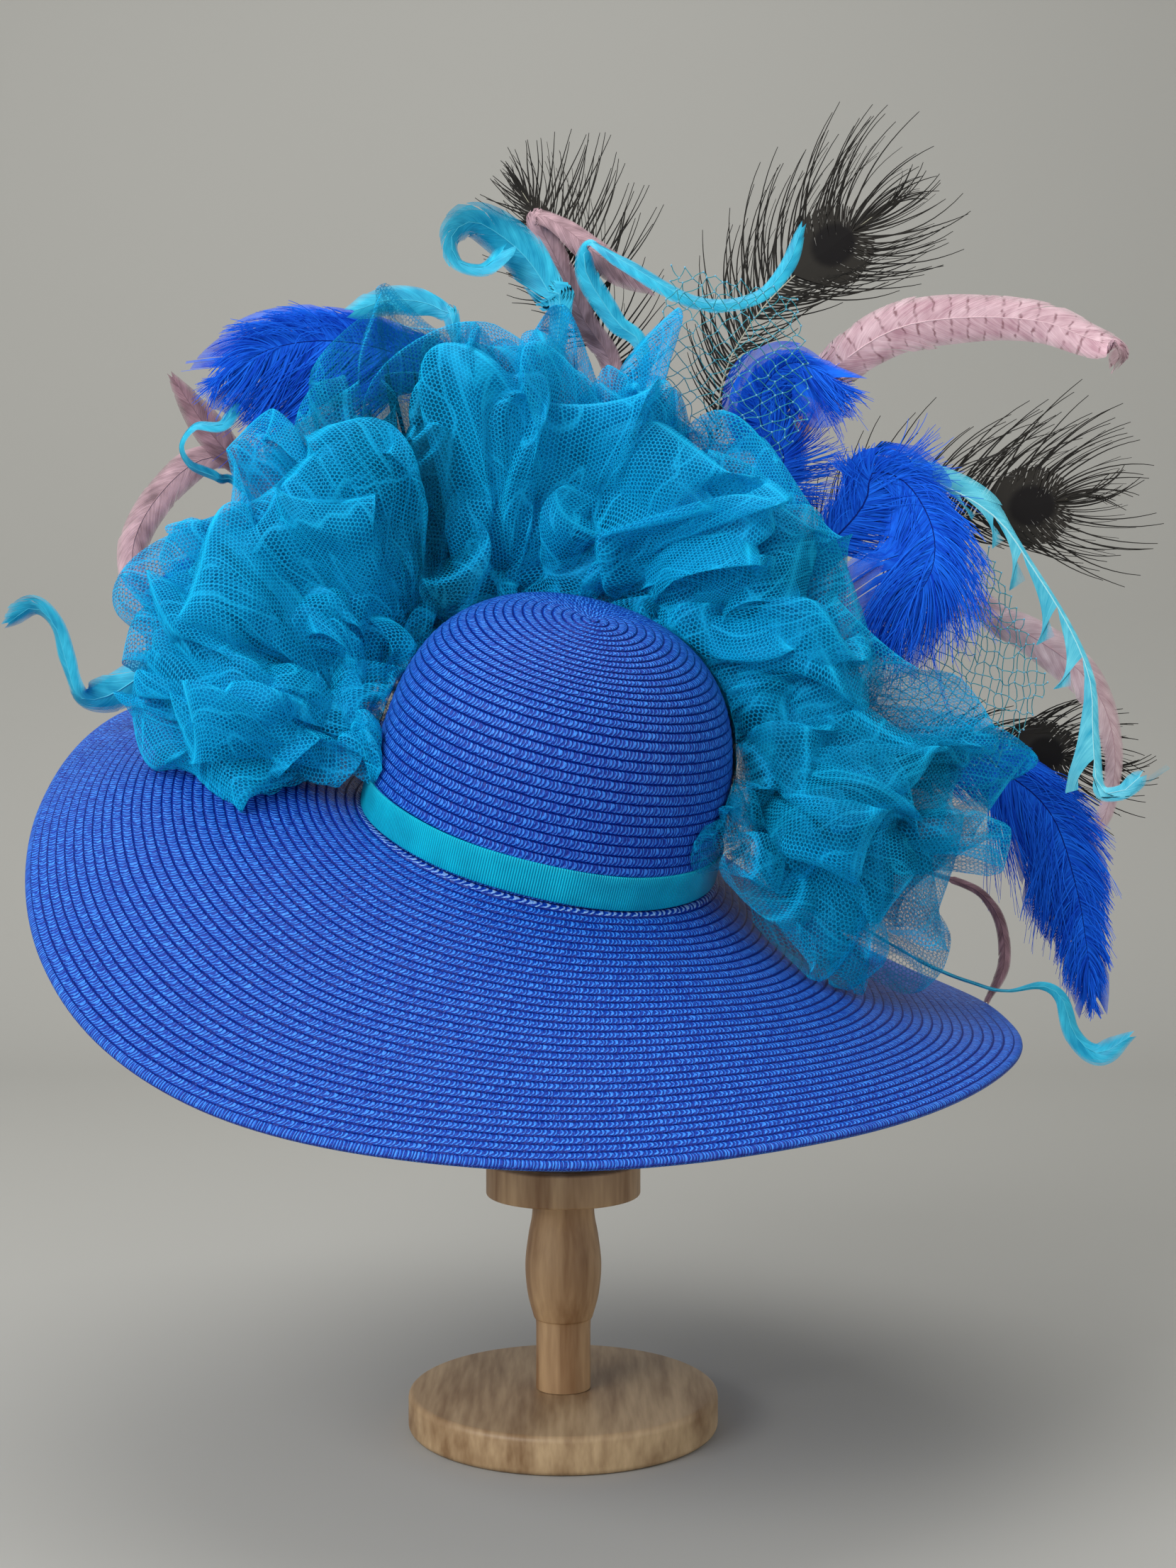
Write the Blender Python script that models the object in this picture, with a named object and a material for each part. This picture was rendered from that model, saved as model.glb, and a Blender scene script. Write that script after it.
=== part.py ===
"""Race day hat of braided straw on a plain turned stand.

Every size in the tables is in millimetres and every angle in degrees. MM turns a size into
Blender's metres where a mesh is made. The origin is the centre of the stand's underside,
+Z is up, +X is to the right as the hat is shown and -Y faces the viewer.
"""

import math
from typing import NamedTuple

import bmesh
import bpy
import numpy as np
from mathutils import Vector
from mathutils.bvhtree import BVHTree

MM = 0.001
GAP = 0.3

# Stand: radius and height up each turned profile
STAND_SIDES = 22
POST_SIDES = 14
DOME_SIDES = 16
BASE_RADIUS = 75.0
BASE_HEIGHT = 18.0
BASE_ROUND = 4.0
DISC_RADIUS = 37.5
DISC_BOTTOM = 112.0
DISC_TOP = 128.0
DISC_ROUND = 2.0
DOME_RADIUS = 56.0
DOME_FOOT_RADIUS = 30.0
DOME_TOP = 400.2
DOME_RINGS = 8
DOME_FULLNESS = 0.55


class Turned(NamedTuple):
    """One step of a turned profile."""

    radius: float
    z: float


POST_PROFILE = [
    Turned(13.25, BASE_HEIGHT + GAP),
    Turned(13.25, 49.0),
    Turned(14.4, 53.0),
    Turned(17.3, 64.0),
    Turned(18.5, 78.0),
    Turned(17.0, 92.0),
    Turned(15.2, 102.0),
    Turned(15.0, DISC_BOTTOM - GAP),
]

# Hat: the straw is one wall thick, and the crown's base oval is the driving size
STRAW = 2.0
CROWN_SIDE = 87.0
CROWN_FRONT = 94.0
CROWN_SIDES = 28
BRIM_WIDTH = 168.0
BRIM_SIDES = 40
BRIM_RINGS = 4
BRIM_STEPS = 24
EDGE_WIDTH = 4.5
EDGE_THICKNESS = 3.6
EDGE_GAP = 0.5
RIBBON_HEIGHT = 16.0
RIBBON_THICKNESS = 1.0
RIBBON_FOOT = 1.2

# The hat sits on the stand tipped to the viewer, rolled to its right and a little turned
HAT_CENTRE = Vector((-12.0, 8.0, 286.0))
HAT_TIP = 15.3
HAT_ROLL = 13.7
HAT_TURN = 3.4


class Ring(NamedTuple):
    """Height up the crown, and its width there as a share of the base oval."""

    height: float
    share: float


CROWN_PROFILE = [
    Ring(GAP, 1.0),
    Ring(17.0, 1.0),
    Ring(38.0, 0.98),
    Ring(58.0, 0.945),
    Ring(75.0, 0.885),
    Ring(89.0, 0.795),
    Ring(101.0, 0.66),
    Ring(110.0, 0.48),
    Ring(115.0, 0.27),
    Ring(117.0, 0.0),
]


class Slope(NamedTuple):
    """How the brim leaves the crown and meets its edge, in one direction from the hat's right."""

    direction: float
    base: float
    edge: float


BRIM_SLOPES = [
    Slope(0, -35, 8),
    Slope(30, -26, -20),
    Slope(60, -13, -40),
    Slope(90, -11, -26),
    Slope(120, -8, -7),
    Slope(150, 7, -19),
    Slope(180, 15, -46),
    Slope(210, -2, -49),
    Slope(240, -22, -30),
    Slope(270, -23, -12),
    Slope(300, -18, 2),
    Slope(330, -26, 14),
]

# Tulle swag: a gathered roll sewn round the back of the crown, with three ruffles from it
ROLL_RADIUS = 12.0
ROLL_SIDES = 6
ROLL_CLEAR = 0.2
ROLL_SPREAD = 8.0
FALL_STEP = 3.0
TULLE_THICKNESS = 1.4
TULLE_GAP = 2.0
TULLE_PARTS = ("tulle_left", "tulle_top", "tulle_right")
FOLDS = 12
STEPS_PER_FOLD = 4
FOLD_DEPTH = 8.0
FOLD_SCALLOP = 0.05
FOLD_GROWTH = 0.8
BACK_REACH = 74.0
BACK_TURN = 0.55
BACK_FALL = 0.25
TULLE_CLEAR = 4.0
LOOK_DOWN = 400.0
LEAST_SHARE = 0.05


class Swag(NamedTuple):
    """Where the roll is sewn to the crown, and where the outer and front ruffles end."""

    direction: float
    height: float
    outer: tuple
    front: tuple


SWAG = [
    Swag(188, 17, (-193, -12, 318), (-162, -52, 324)),
    Swag(182, 20, (-204, -4, 362), (-182, -46, 352)),
    Swag(176, 24, (-208, 4, 400), (-181, -38, 390)),
    Swag(168, 30, (-192, 13, 449), (-159, -30, 424)),
    Swag(158, 38, (-161, 24, 484), (-127, -20, 456)),
    Swag(147, 48, (-128, 34, 518), (-94, -12, 485)),
    Swag(135, 60, (-92, 42, 552), (-53, -6, 499)),
    Swag(122, 74, (-53, 47, 558), (-19, -2, 507)),
    Swag(107, 85, (-6, 48, 565), (5, -2, 500)),
    Swag(92, 91, (21, 48, 517), (29, -4, 486)),
    Swag(77, 91, (51, 48, 524), (57, -8, 471)),
    Swag(63, 86, (78, 46, 487), (91, -14, 443)),
    Swag(50, 77, (110, 42, 470), (114, -21, 409)),
    Swag(38, 65, (142, 34, 431), (133, -31, 371)),
    Swag(27, 52, (180, 24, 373), (149, -41, 330)),
    Swag(16, 38, (231, 14, 327), (149, -51, 287)),
    Swag(4, 25, (214, 4, 278), (133, -56, 252)),
    Swag(-10, 17, (186, -6, 218), (114, -56, 232)),
]


class Ruffle(NamedTuple):
    """One ruffle of the swag: its rows of faces, where its folds start, and its end clearance."""

    name: str
    rows: int
    phase: float
    inset: float


RUFFLES = [
    Ruffle("outer", 3, 0.0, 0.8),
    Ruffle("front", 2, 0.45, 0.8),
    Ruffle("back", 1, 0.2, 5.0),
]
RUFFLE_START = 0.55


class Spine(NamedTuple):
    """One row of a feather: its shaft, half its vane, its turn, and its locks on either side."""

    x: float
    y: float
    z: float
    half: float
    turn: float = 0
    left: float = 0
    right: float = 0


class Feather(NamedTuple):
    """A feather: its finish, where along the swag it is sewn, and how its locks grow."""

    finish: str
    seat: float
    steps: float
    spine: list
    locks: int = 0
    sweep: float = 40
    curl: float = 0
    thickness: float = 1.0


QUILL_HALF = 1.0
QUILL_CLEAR = 0.9
SEAT_STEP = 0.1
HALF_LEAST = 0.5
LOCK_LEAST = 5.0
LOCK_TIP_CURL = 1.5
VANE_CAMBER = 0.12
LOCK_BEND = 0.55
LOCK_TAPER = 0.6

FEATHERS = {
    "peacock_top_left": Feather("peacock", 0.50, 2, [
        Spine(23, 112, 525, 1.5, 0, 0, 10),
        Spine(8, 114, 559, 1.5, 0, 25, 30),
        Spine(-5, 116, 587, 3, 0, 40, 42),
        Spine(-15, 116, 617, 14, 0, 24, 30),
        Spine(-22, 116, 642, 3, 0, 8, 10),
    ], 8, 32, curl=0.05),
    "peacock_top": Feather("peacock", 0.60, 2, [
        Spine(74, 104, 475, 1.5, 0, 0, 0),
        Spine(85, 108, 528, 1.5, 0, 30, 10),
        Spine(98, 112, 555, 1.5, 0, 48, 26),
        Spine(117, 112, 578, 4, 0, 52, 36),
        Spine(144, 112, 600, 17, 0, 40, 32),
        Spine(166, 112, 616, 4, 0, 22, 24),
    ], 9, 38, curl=0.05),
    "peacock_right": Feather("peacock", 0.79, 2, [
        Spine(171, 108, 421, 1.5, 0, 0, 0),
        Spine(196, 108, 434, 1.5, 0, 50, 0),
        Spine(226, 108, 448, 5, 0, 58, 20),
        Spine(252, 108, 459, 16, 0, 46, 26),
        Spine(280, 108, 466, 4, 0, 26, 24),
    ], 8, 34, curl=0.05),
    "peacock_low_right": Feather("peacock", 0.88, 2, [
        Spine(200, 108, 335, 1.5, 0, 0, 0),
        Spine(230, 108, 331, 4, 0, 26, 0),
        Spine(258, 108, 326, 14, 0, 24, 12),
        Spine(282, 108, 321, 3, 0, 20, 18),
    ], 6, 36, curl=0.05),
    "ostrich_left": Feather("ostrich", 0.37, 2, [
        Spine(-55, 84, 514, 8, 0, 10, 10),
        Spine(-89, 88, 537, 12, 0, 16, 14),
        Spine(-123, 88, 544, 12, 0, 20, 20),
        Spine(-152, 84, 540, 8, 0, 24, 20),
        Spine(-173, 78, 528, 3, 0, 16, 16),
    ], 7, 48, curl=0.22, thickness=1.6),
    "ostrich_left_low": Feather("ostrich", 0.19, 2, [
        Spine(-168, 66, 427, 5, 0, 0, 0),
        Spine(-186, 66, 424, 7, 0, 8, 12),
        Spine(-202, 64, 408, 3, 0, 10, 10),
    ], 4, 45, curl=0.2, thickness=1.6),
    "ostrich_top": Feather("ostrich", 0.66, 2, [
        Spine(113, 84, 473, 8, 0, 10, 8),
        Spine(104, 90, 500, 14, 0, 10, 18),
        Spine(105, 90, 522, 12, 0, 10, 22),
        Spine(120, 84, 538, 8, 0, 16, 18),
        Spine(138, 74, 528, 3, 0, 14, 12),
    ], 6, 48, curl=0.2, thickness=1.6),
    "ostrich_right": Feather("ostrich", 0.72, 2, [
        Spine(150, 74, 448, 6, 0, 8, 6),
        Spine(163, 76, 473, 10, 0, 14, 10),
        Spine(185, 74, 464, 14, 0, 22, 14),
        Spine(194, 66, 437, 14, 0, 20, 18),
        Spine(188, 58, 411, 10, 0, 16, 18),
        Spine(176, 52, 392, 3, 0, 12, 10),
    ], 7, 46, curl=0.2, thickness=1.6),
    "ostrich_low_right": Feather("ostrich", 0.91, 2, [
        Spine(226, 88, 322, 5, 0, 8, 6),
        Spine(253, 86, 303, 10, 0, 14, 14),
        Spine(268, 82, 273, 11, 0, 20, 18),
        Spine(276, 76, 239, 8, 0, 16, 18),
        Spine(281, 70, 195, 2, 0, 12, 12),
    ], 7, 40, curl=0.2, thickness=1.6),
    "turquoise_curl_top_left": Feather("turquoise", 0.45, 1.2, [
        Spine(-3, 74, 551, 4, 0),
        Spine(-8, 76, 566, 5, 10),
        Spine(-20, 78, 585, 5, 20),
        Spine(-34, 76, 597, 5, 45),
        Spine(-48, 68, 602, 5, 70),
        Spine(-58, 60, 593, 5, 80),
        Spine(-55, 57, 579, 5, 75),
        Spine(-42, 62, 577, 4, 60),
        Spine(-32, 68, 587, 1.5, 40),
    ]),
    "turquoise_curl_top": Feather("turquoise", 0.555, 1.2, [
        Spine(41, 84, 528, 4, 0),
        Spine(26, 88, 555, 9, 0),
        Spine(11, 88, 580, 8, 10),
        Spine(13, 80, 594, 5, 60),
        Spine(31, 73, 582, 6, 30),
        Spine(68, 69, 561, 7, 20),
        Spine(98, 71, 563, 6, 20),
        Spine(115, 74, 579, 5, 10),
        Spine(124, 76, 601, 1.2, 0),
    ]),
    "turquoise_notched": Feather("turquoise", 0.765, 1.2, [
        Spine(152, 86, 440, 2, 0, 0, 0),
        Spine(174, 89, 474, 8, 0, 0, 0),
        Spine(202, 86, 466, 9, 0, 0, 6),
        Spine(228, 84, 449, 6, 0, 0, 16),
        Spine(246, 82, 423, 3, 0, 0, 22),
        Spine(264, 80, 393, 3, 0, 0, 24),
        Spine(275, 78, 364, 3, 0, 0, 22),
        Spine(276, 76, 334, 5, 0, 0, 8),
        Spine(278, 72, 308, 4, 10, 0, 0),
        Spine(288, 66, 306, 4, 30, 0, 0),
        Spine(297, 62, 314, 1.2, 30, 0, 0),
    ], 9, 28),
    "turquoise_tail": Feather("turquoise", 0.995, 1.2, [
        Spine(178, 50, 222, 1, 0),
        Spine(211, 50, 208, 1, 0),
        Spine(226, 48, 205, 1, 0),
        Spine(242, 44, 208, 2, 0),
        Spine(252, 42, 202, 4, 20),
        Spine(258, 40, 184, 5, 40),
        Spine(269, 36, 175, 5, 40),
        Spine(284, 32, 184, 1.2, 20),
    ]),
    "turquoise_ring_left": Feather("turquoise", 0.27, 1.2, [
        Spine(-166, 88, 461, 2, 0),
        Spine(-183, 84, 471, 4, 40),
        Spine(-197, 80, 477, 4, 60),
        Spine(-201, 75, 487, 4, 60),
        Spine(-193, 73, 497, 4, 50),
        Spine(-179, 76, 498, 4, 30),
        Spine(-171, 82, 513, 1, 0),
    ]),
    "turquoise_flat_left": Feather("turquoise", 0.415, 1.2, [
        Spine(-28, 70, 561, 4, 0),
        Spine(-58, 70, 566, 8, 0),
        Spine(-88, 70, 564, 7, 0),
        Spine(-110, 70, 556, 2, 0),
    ]),
    "turquoise_hook_left": Feather("turquoise", 0.11, 1.2, [
        Spine(-167, 40, 390, 7, 0),
        Spine(-189, 42, 384, 9, 0),
        Spine(-214, 44, 366, 9, 0),
        Spine(-232, 44, 355, 7, 20),
        Spine(-246, 42, 355, 5, 50),
        Spine(-251, 36, 373, 6, 40),
        Spine(-255, 30, 390, 6, 60),
        Spine(-265, 28, 399, 4, 60),
        Spine(-278, 28, 391, 1.2, 40),
    ]),
    "pink_curl_top": Feather("pink", 0.525, 1.2, [
        Spine(26, 100, 520, 5, 0),
        Spine(9, 103, 560, 6, 0),
        Spine(-7, 104, 595, 6, 10),
        Spine(-16, 100, 613, 5, 50),
        Spine(-2, 96, 607, 6, 50),
        Spine(20, 95, 589, 6, 30),
        Spine(45, 96, 574, 2, 20),
    ]),
    "pink_barred": Feather("pink", 0.69, 1.2, [
        Spine(133, 104, 516, 6, 0),
        Spine(150, 104, 537, 9, 0),
        Spine(179, 102, 554, 11, 0),
        Spine(216, 100, 559, 11, 0),
        Spine(253, 96, 556, 10, 5),
        Spine(278, 92, 546, 9, 20),
        Spine(293, 86, 540, 6, 50),
        Spine(288, 80, 530, 2, 60),
    ]),
    "pink_arc_right": Feather("pink", 0.82, 1.2, [
        Spine(205, 97, 401, 5, 0),
        Spine(235, 97, 395, 8, 0),
        Spine(257, 97, 383, 8, 0),
        Spine(276, 97, 368, 7, 10),
        Spine(288, 97, 349, 6, 10),
        Spine(293, 97, 323, 5, 10),
        Spine(289, 97, 297, 4, 10),
        Spine(280, 96, 280, 1.2, 10),
    ]),
    "pink_tail": Feather("pink", 0.95, 1.2, [
        Spine(196, 62, 262, 2, 0),
        Spine(222, 66, 246, 3, 0),
        Spine(227, 62, 219, 3, 0),
        Spine(217, 58, 198, 1, 0),
    ]),
    "pink_blade_left": Feather("pink", 0.348, 1.2, [
        Spine(-150, 96, 466, 5, 0),
        Spine(-172, 96, 479, 8, 0),
        Spine(-192, 96, 500, 6, 0),
        Spine(-209, 94, 526, 1, 0),
    ]),
    "pink_drop_left": Feather("pink", 0.285, 1.2, [
        Spine(-168, 112, 474, 2, 0),
        Spine(-185, 112, 486, 6, 0),
        Spine(-203, 110, 481, 6, 0),
        Spine(-222, 108, 461, 6, 0),
        Spine(-232, 106, 440, 6, 0),
        Spine(-231, 102, 421, 5, 20),
        Spine(-220, 98, 411, 1.5, 30),
    ]),
}


class Mesh(NamedTuple):
    """One row of a piece of net, from its left edge to its right edge."""

    left: tuple
    right: tuple
    bulge: float


NET_STRAND = 1.3
NET_ROOT = 0.012
NET_THICKNESS = 1.0
NET_CLEAR = 0.6


class Net(NamedTuple):
    """A piece of coarse net: its rows from the root up, and its count of meshes each way."""

    seat: float
    across: int
    along: int
    rows: list


NETS = {
    "veil_top": Net(0.635, 5, 9, [
        Mesh((46, 66, 414), (60, 66, 412), 0),
        Mesh((42, 63, 462), (96, 63, 458), 2),
        Mesh((42, 62, 520), (126, 62, 505), 4),
        Mesh((56, 62, 578), (120, 62, 562), 2),
    ]),
    "veil_side": Net(0.85, 5, 7, [
        Mesh((118, 52, 338), (124, 52, 326), 0),
        Mesh((158, 64, 376), (172, 60, 334), 1),
        Mesh((196, 73, 408), (222, 70, 320), 2),
        Mesh((222, 75, 434), (252, 72, 362), 1),
    ]),
}


class Finish(NamedTuple):
    """Colour and roughness of a sub-part."""

    colour: tuple
    roughness: float


FINISHES = {
    "straw": Finish((0.045, 0.145, 0.62), 0.45),
    "ribbon": Finish((0.002, 0.34, 0.5), 0.5),
    "tulle": Finish((0.005, 0.28, 0.55), 0.6),
    "ostrich": Finish((0.015, 0.07, 0.7), 0.7),
    "turquoise": Finish((0.02, 0.5, 0.7), 0.5),
    "pink": Finish((0.6, 0.33, 0.38), 0.55),
    "peacock": Finish((0.025, 0.022, 0.018), 0.6),
    "net": Finish((0.01, 0.25, 0.28), 0.6),
    "pine": Finish((0.42, 0.28, 0.15), 0.5),
    "form": Finish((0.6, 0.56, 0.5), 0.7),
}


def clear_scene():
    """Removes what the scene holds."""
    for obj in list(bpy.data.objects):
        bpy.data.objects.remove(obj, do_unlink=True)


def add_finish(obj, finish):
    """Gives the object a material of its own."""
    look = FINISHES[finish]
    material = bpy.data.materials.new(obj.name)
    material.use_nodes = True
    shader = material.node_tree.nodes["Principled BSDF"]
    shader.inputs["Base Color"].default_value = (*look.colour, 1.0)
    shader.inputs["Roughness"].default_value = look.roughness
    obj.data.materials.append(material)


def add_object(name, points, faces, finish):
    """Makes a smooth-shaded mesh object from points in millimetres."""
    mesh = bpy.data.meshes.new(name)
    mesh.from_pydata([tuple(MM * float(v) for v in p) for p in points], [], faces)
    mesh.update()
    mesh.shade_smooth()
    obj = bpy.data.objects.new(name, mesh)
    bpy.context.scene.collection.objects.link(obj)
    add_finish(obj, finish)
    return obj


def turn_outward(obj):
    """Makes the faces of a closed or nearly closed mesh point outward."""
    shape = bmesh.new()
    shape.from_mesh(obj.data)
    bmesh.ops.recalc_face_normals(shape, faces=shape.faces)
    shape.to_mesh(obj.data)
    shape.free()


def thicken(obj, thickness, offset):
    """Gives a sheet its wall: offset -1 grows it behind the faces and 0 on both sides."""
    wall = obj.modifiers.new("wall", "SOLIDIFY")
    wall.thickness = thickness * MM
    wall.offset = offset
    wall.use_even_offset = offset < 0
    wall.use_rim = True


def fuse(obj, helper):
    """Joins a helper's solid to the object's with a Boolean union."""
    union = obj.modifiers.new(helper.name, "BOOLEAN")
    union.operation = "UNION"
    union.solver = "EXACT"
    union.object = helper
    helper.hide_render = True
    helper.display_type = "WIRE"


def evaluated_tree(obj):
    """A search tree of the object as its modifiers leave it, in metres."""
    bpy.context.view_layer.update()
    return BVHTree.FromObject(obj, bpy.context.evaluated_depsgraph_get())


def grid_faces(rows, columns, closed):
    """Quads between neighbouring rows of points, the last column joined to the first if closed."""
    faces = []
    for row in range(rows - 1):
        for column in range(columns if closed else columns - 1):
            after = (column + 1) % columns
            low, high = row * columns, (row + 1) * columns
            faces.append((low + column, low + after, high + after, high + column))
    return faces


def curve_through(rows, count):
    """Points at even shares along a Catmull-Rom curve through table rows, column by column."""
    rows = np.array(rows, float)
    padded = np.vstack([2 * rows[0] - rows[1], rows, 2 * rows[-1] - rows[-2]])
    places = np.linspace(0, len(rows) - 1, count)
    index = np.minimum(places.astype(int), len(rows) - 2)
    share = (places - index)[:, None]
    before, start, end, after = (padded[index + step] for step in range(4))
    line = 2 * start + (end - before) * share
    bend = (2 * before - 5 * start + 4 * end - after) * share**2
    twist = (3 * start - before - 3 * end + after) * share**3
    return (line + bend + twist) / 2


def along(rows, place):
    """The Catmull-Rom curve through table rows at one place from 0 to 1."""
    finest = 1000
    return curve_through(rows, finest + 1)[round(place * finest)]


def unit(vector):
    """The vector at length 1."""
    return vector / np.linalg.norm(vector)


def hat_axes():
    """The hat's own right, back and up directions in the world."""
    tip, roll, turn = (math.radians(angle) for angle in (HAT_TIP, HAT_ROLL, HAT_TURN))
    up = np.array([
        math.cos(tip) * math.sin(roll),
        -math.sin(tip),
        math.cos(tip) * math.cos(roll),
    ])
    level = np.array([math.cos(roll), 0.0, -math.sin(roll)])
    back = np.cross(up, level)
    right = math.cos(turn) * level + math.sin(turn) * back
    return right, np.cross(up, right), up


def to_world(point):
    """A point of the hat's own frame in the world."""
    right, back, up = hat_axes()
    return np.array(HAT_CENTRE) + point[0] * right + point[1] * back + point[2] * up


def to_hat(point):
    """A world point in the hat's own frame."""
    offset = np.array(point, float) - np.array(HAT_CENTRE)
    return np.array([offset @ axis for axis in hat_axes()])


def crown_share(height):
    """The crown's width at a height, as a share of its base oval."""
    heights = [ring.height for ring in CROWN_PROFILE]
    return float(np.interp(height, heights, [ring.share for ring in CROWN_PROFILE]))


def oval(direction, share=1.0, outward=0.0):
    """A point of the crown's base oval in the hat's frame, moved outward along its normal."""
    turn = math.radians(direction)
    normal = unit(np.array([math.cos(turn) / CROWN_SIDE, math.sin(turn) / CROWN_FRONT]))
    x = CROWN_SIDE * share * math.cos(turn) + outward * normal[0]
    y = CROWN_FRONT * share * math.sin(turn) + outward * normal[1]
    return np.array([x, y])


def brim_slope(direction):
    """The brim's slope at the crown and at the edge, smooth round the hat."""
    step = 360 / len(BRIM_SLOPES)
    place = (direction % 360) / step
    index = int(place)
    share = place - index
    rows = [BRIM_SLOPES[(index + offset) % len(BRIM_SLOPES)] for offset in (-1, 0, 1, 2)]
    before, start, end, after = (np.array(row[1:], float) for row in rows)
    line = 2 * start + (end - before) * share
    bend = (2 * before - 5 * start + 4 * end - after) * share**2
    twist = (3 * start - before - 3 * end + after) * share**3
    return (line + bend + twist) / 2


def brim_point(direction, distance):
    """A world point of the brim's upper face, so far from the crown along the straw."""
    base, edge = brim_slope(direction)
    outward = min(distance, 0.0)
    height = 0.0
    for step in range(BRIM_STEPS):
        stride = max(distance, 0.0) / BRIM_STEPS
        share = stride * (step + 0.5) / BRIM_WIDTH
        slope = math.radians(base + (edge - base) * share)
        outward += stride * math.cos(slope)
        height += stride * math.sin(slope)
    x, y = oval(direction, outward=outward)
    return to_world((x, y, height))


def turned_piece(name, profile, sides, finish):
    """A closed solid of revolution about the stand's axis, from its foot up."""
    points = [(0.0, 0.0, profile[0].z)]
    for step in profile:
        for side in range(sides):
            turn = 2 * math.pi * side / sides
            points.append((step.radius * math.cos(turn), step.radius * math.sin(turn), step.z))
    points.append((0.0, 0.0, profile[-1].z))
    faces = [tuple(index + 1 for index in face) for face in grid_faces(len(profile), sides, True)]
    last = 1 + (len(profile) - 1) * sides
    for side in range(sides):
        after = (side + 1) % sides
        faces.append((0, 1 + after, 1 + side))
        faces.append((len(points) - 1, last + side, last + after))
    obj = add_object(name, points, faces, finish)
    turn_outward(obj)
    obj.data.set_sharp_from_angle(angle=math.radians(35))
    return obj


def rounded_disc(name, radius, bottom, top, rounding, sides):
    """A flat turned disc with its upper and lower edges eased."""
    profile = [
        Turned(radius - rounding / 2, bottom),
        Turned(radius, bottom + rounding / 2),
        Turned(radius, top - rounding),
        Turned(radius - rounding, top),
    ]
    return turned_piece(name, profile, sides, "pine")


def make_stand():
    """The turned base, post, disc and the rounded form that fills the crown."""
    rounded_disc("stand_base", BASE_RADIUS, 0.0, BASE_HEIGHT, BASE_ROUND, STAND_SIDES)
    turned_piece("stand_post", POST_PROFILE, POST_SIDES, "pine")
    rounded_disc("stand_disc", DISC_RADIUS, DISC_BOTTOM, DISC_TOP, DISC_ROUND, STAND_SIDES)
    foot = DISC_TOP + GAP
    profile = [Turned(DOME_FOOT_RADIUS, foot)]
    for ring in range(1, DOME_RINGS):
        turn = math.pi * (ring / DOME_RINGS - 0.5)
        middle = (foot + DOME_TOP) / 2
        wide = DOME_RADIUS * math.cos(turn) ** DOME_FULLNESS
        profile.append(Turned(wide, middle + (DOME_TOP - foot) / 2 * math.sin(turn)))
    turned_piece("stand_dome", profile, DOME_SIDES, "form")


def make_crown():
    """The hollow crown, open at its foot."""
    points = []
    for ring in CROWN_PROFILE[:-1]:
        for side in range(CROWN_SIDES):
            x, y = oval(360 * side / CROWN_SIDES, ring.share)
            points.append(to_world((x, y, ring.height)))
    faces = grid_faces(len(CROWN_PROFILE) - 1, CROWN_SIDES, True)
    points.append(to_world((0, 0, CROWN_PROFILE[-1].height)))
    top = (len(CROWN_PROFILE) - 2) * CROWN_SIDES
    for side in range(CROWN_SIDES):
        faces.append((top + side, top + (side + 1) % CROWN_SIDES, len(points) - 1))
    crown = add_object("crown", points, faces, "straw")
    thicken(crown, STRAW, -1)
    return crown


def brim_band(name, distances, thickness, finish):
    """A ring of the brim between the given distances from the crown."""
    points = []
    for distance in reversed(distances):
        for side in range(BRIM_SIDES):
            points.append(brim_point(360 * side / BRIM_SIDES, distance))
    obj = add_object(name, points, grid_faces(len(distances), BRIM_SIDES, True), finish)
    thicken(obj, thickness, -1)
    return obj


def make_brim():
    """The swooping brim, and the rolled row round its edge."""
    outer = BRIM_WIDTH - EDGE_WIDTH - EDGE_GAP
    distances = [-STRAW] + [outer * ring / BRIM_RINGS for ring in range(BRIM_RINGS + 1)]
    brim = brim_band("brim", distances, STRAW, "straw")
    brim_band("brim_edge", [BRIM_WIDTH - EDGE_WIDTH, BRIM_WIDTH], EDGE_THICKNESS, "straw")
    return brim


def make_ribbon():
    """The grosgrain band round the crown's foot."""
    points = []
    for height in (RIBBON_FOOT, RIBBON_FOOT + RIBBON_HEIGHT):
        for side in range(CROWN_SIDES):
            x, y = oval(360 * side / CROWN_SIDES, outward=GAP + RIBBON_THICKNESS)
            points.append(to_world((x, y, height)))
    ribbon = add_object("ribbon_band", points, grid_faces(2, CROWN_SIDES, True), "ribbon")
    thicken(ribbon, RIBBON_THICKNESS, -1)


def roll_centre(place):
    """The middle of the gathered roll, at one place from 0 at the left to 1 at the right."""
    direction, height = along([(row.direction, row.height) for row in SWAG], place)
    fall = crown_share(height - FALL_STEP) - crown_share(height + FALL_STEP)
    turn = math.radians(direction)
    lift = fall / (2 * FALL_STEP) * (CROWN_SIDE + CROWN_FRONT) / 2
    normal = unit(np.array([math.cos(turn), math.sin(turn), lift]))
    x, y = oval(direction, crown_share(height))
    over_ribbon = RIBBON_FOOT + RIBBON_HEIGHT + ROLL_RADIUS
    room = RIBBON_THICKNESS + 2 * GAP
    clear = float(np.interp(height, [over_ribbon, over_ribbon + ROLL_SPREAD], [room, ROLL_CLEAR]))
    return to_world(np.array([x, y, height]) + normal * (ROLL_RADIUS + clear))


def roll_section(place):
    """The roll's outward and sideways directions: the outer and front ruffles lie in them."""
    centre = roll_centre(place)
    out = unit(along([row.outer for row in SWAG], place) - centre)
    run = unit(np.cross(along([row.front for row in SWAG], place) - centre, out))
    return out, np.cross(run, out)


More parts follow.
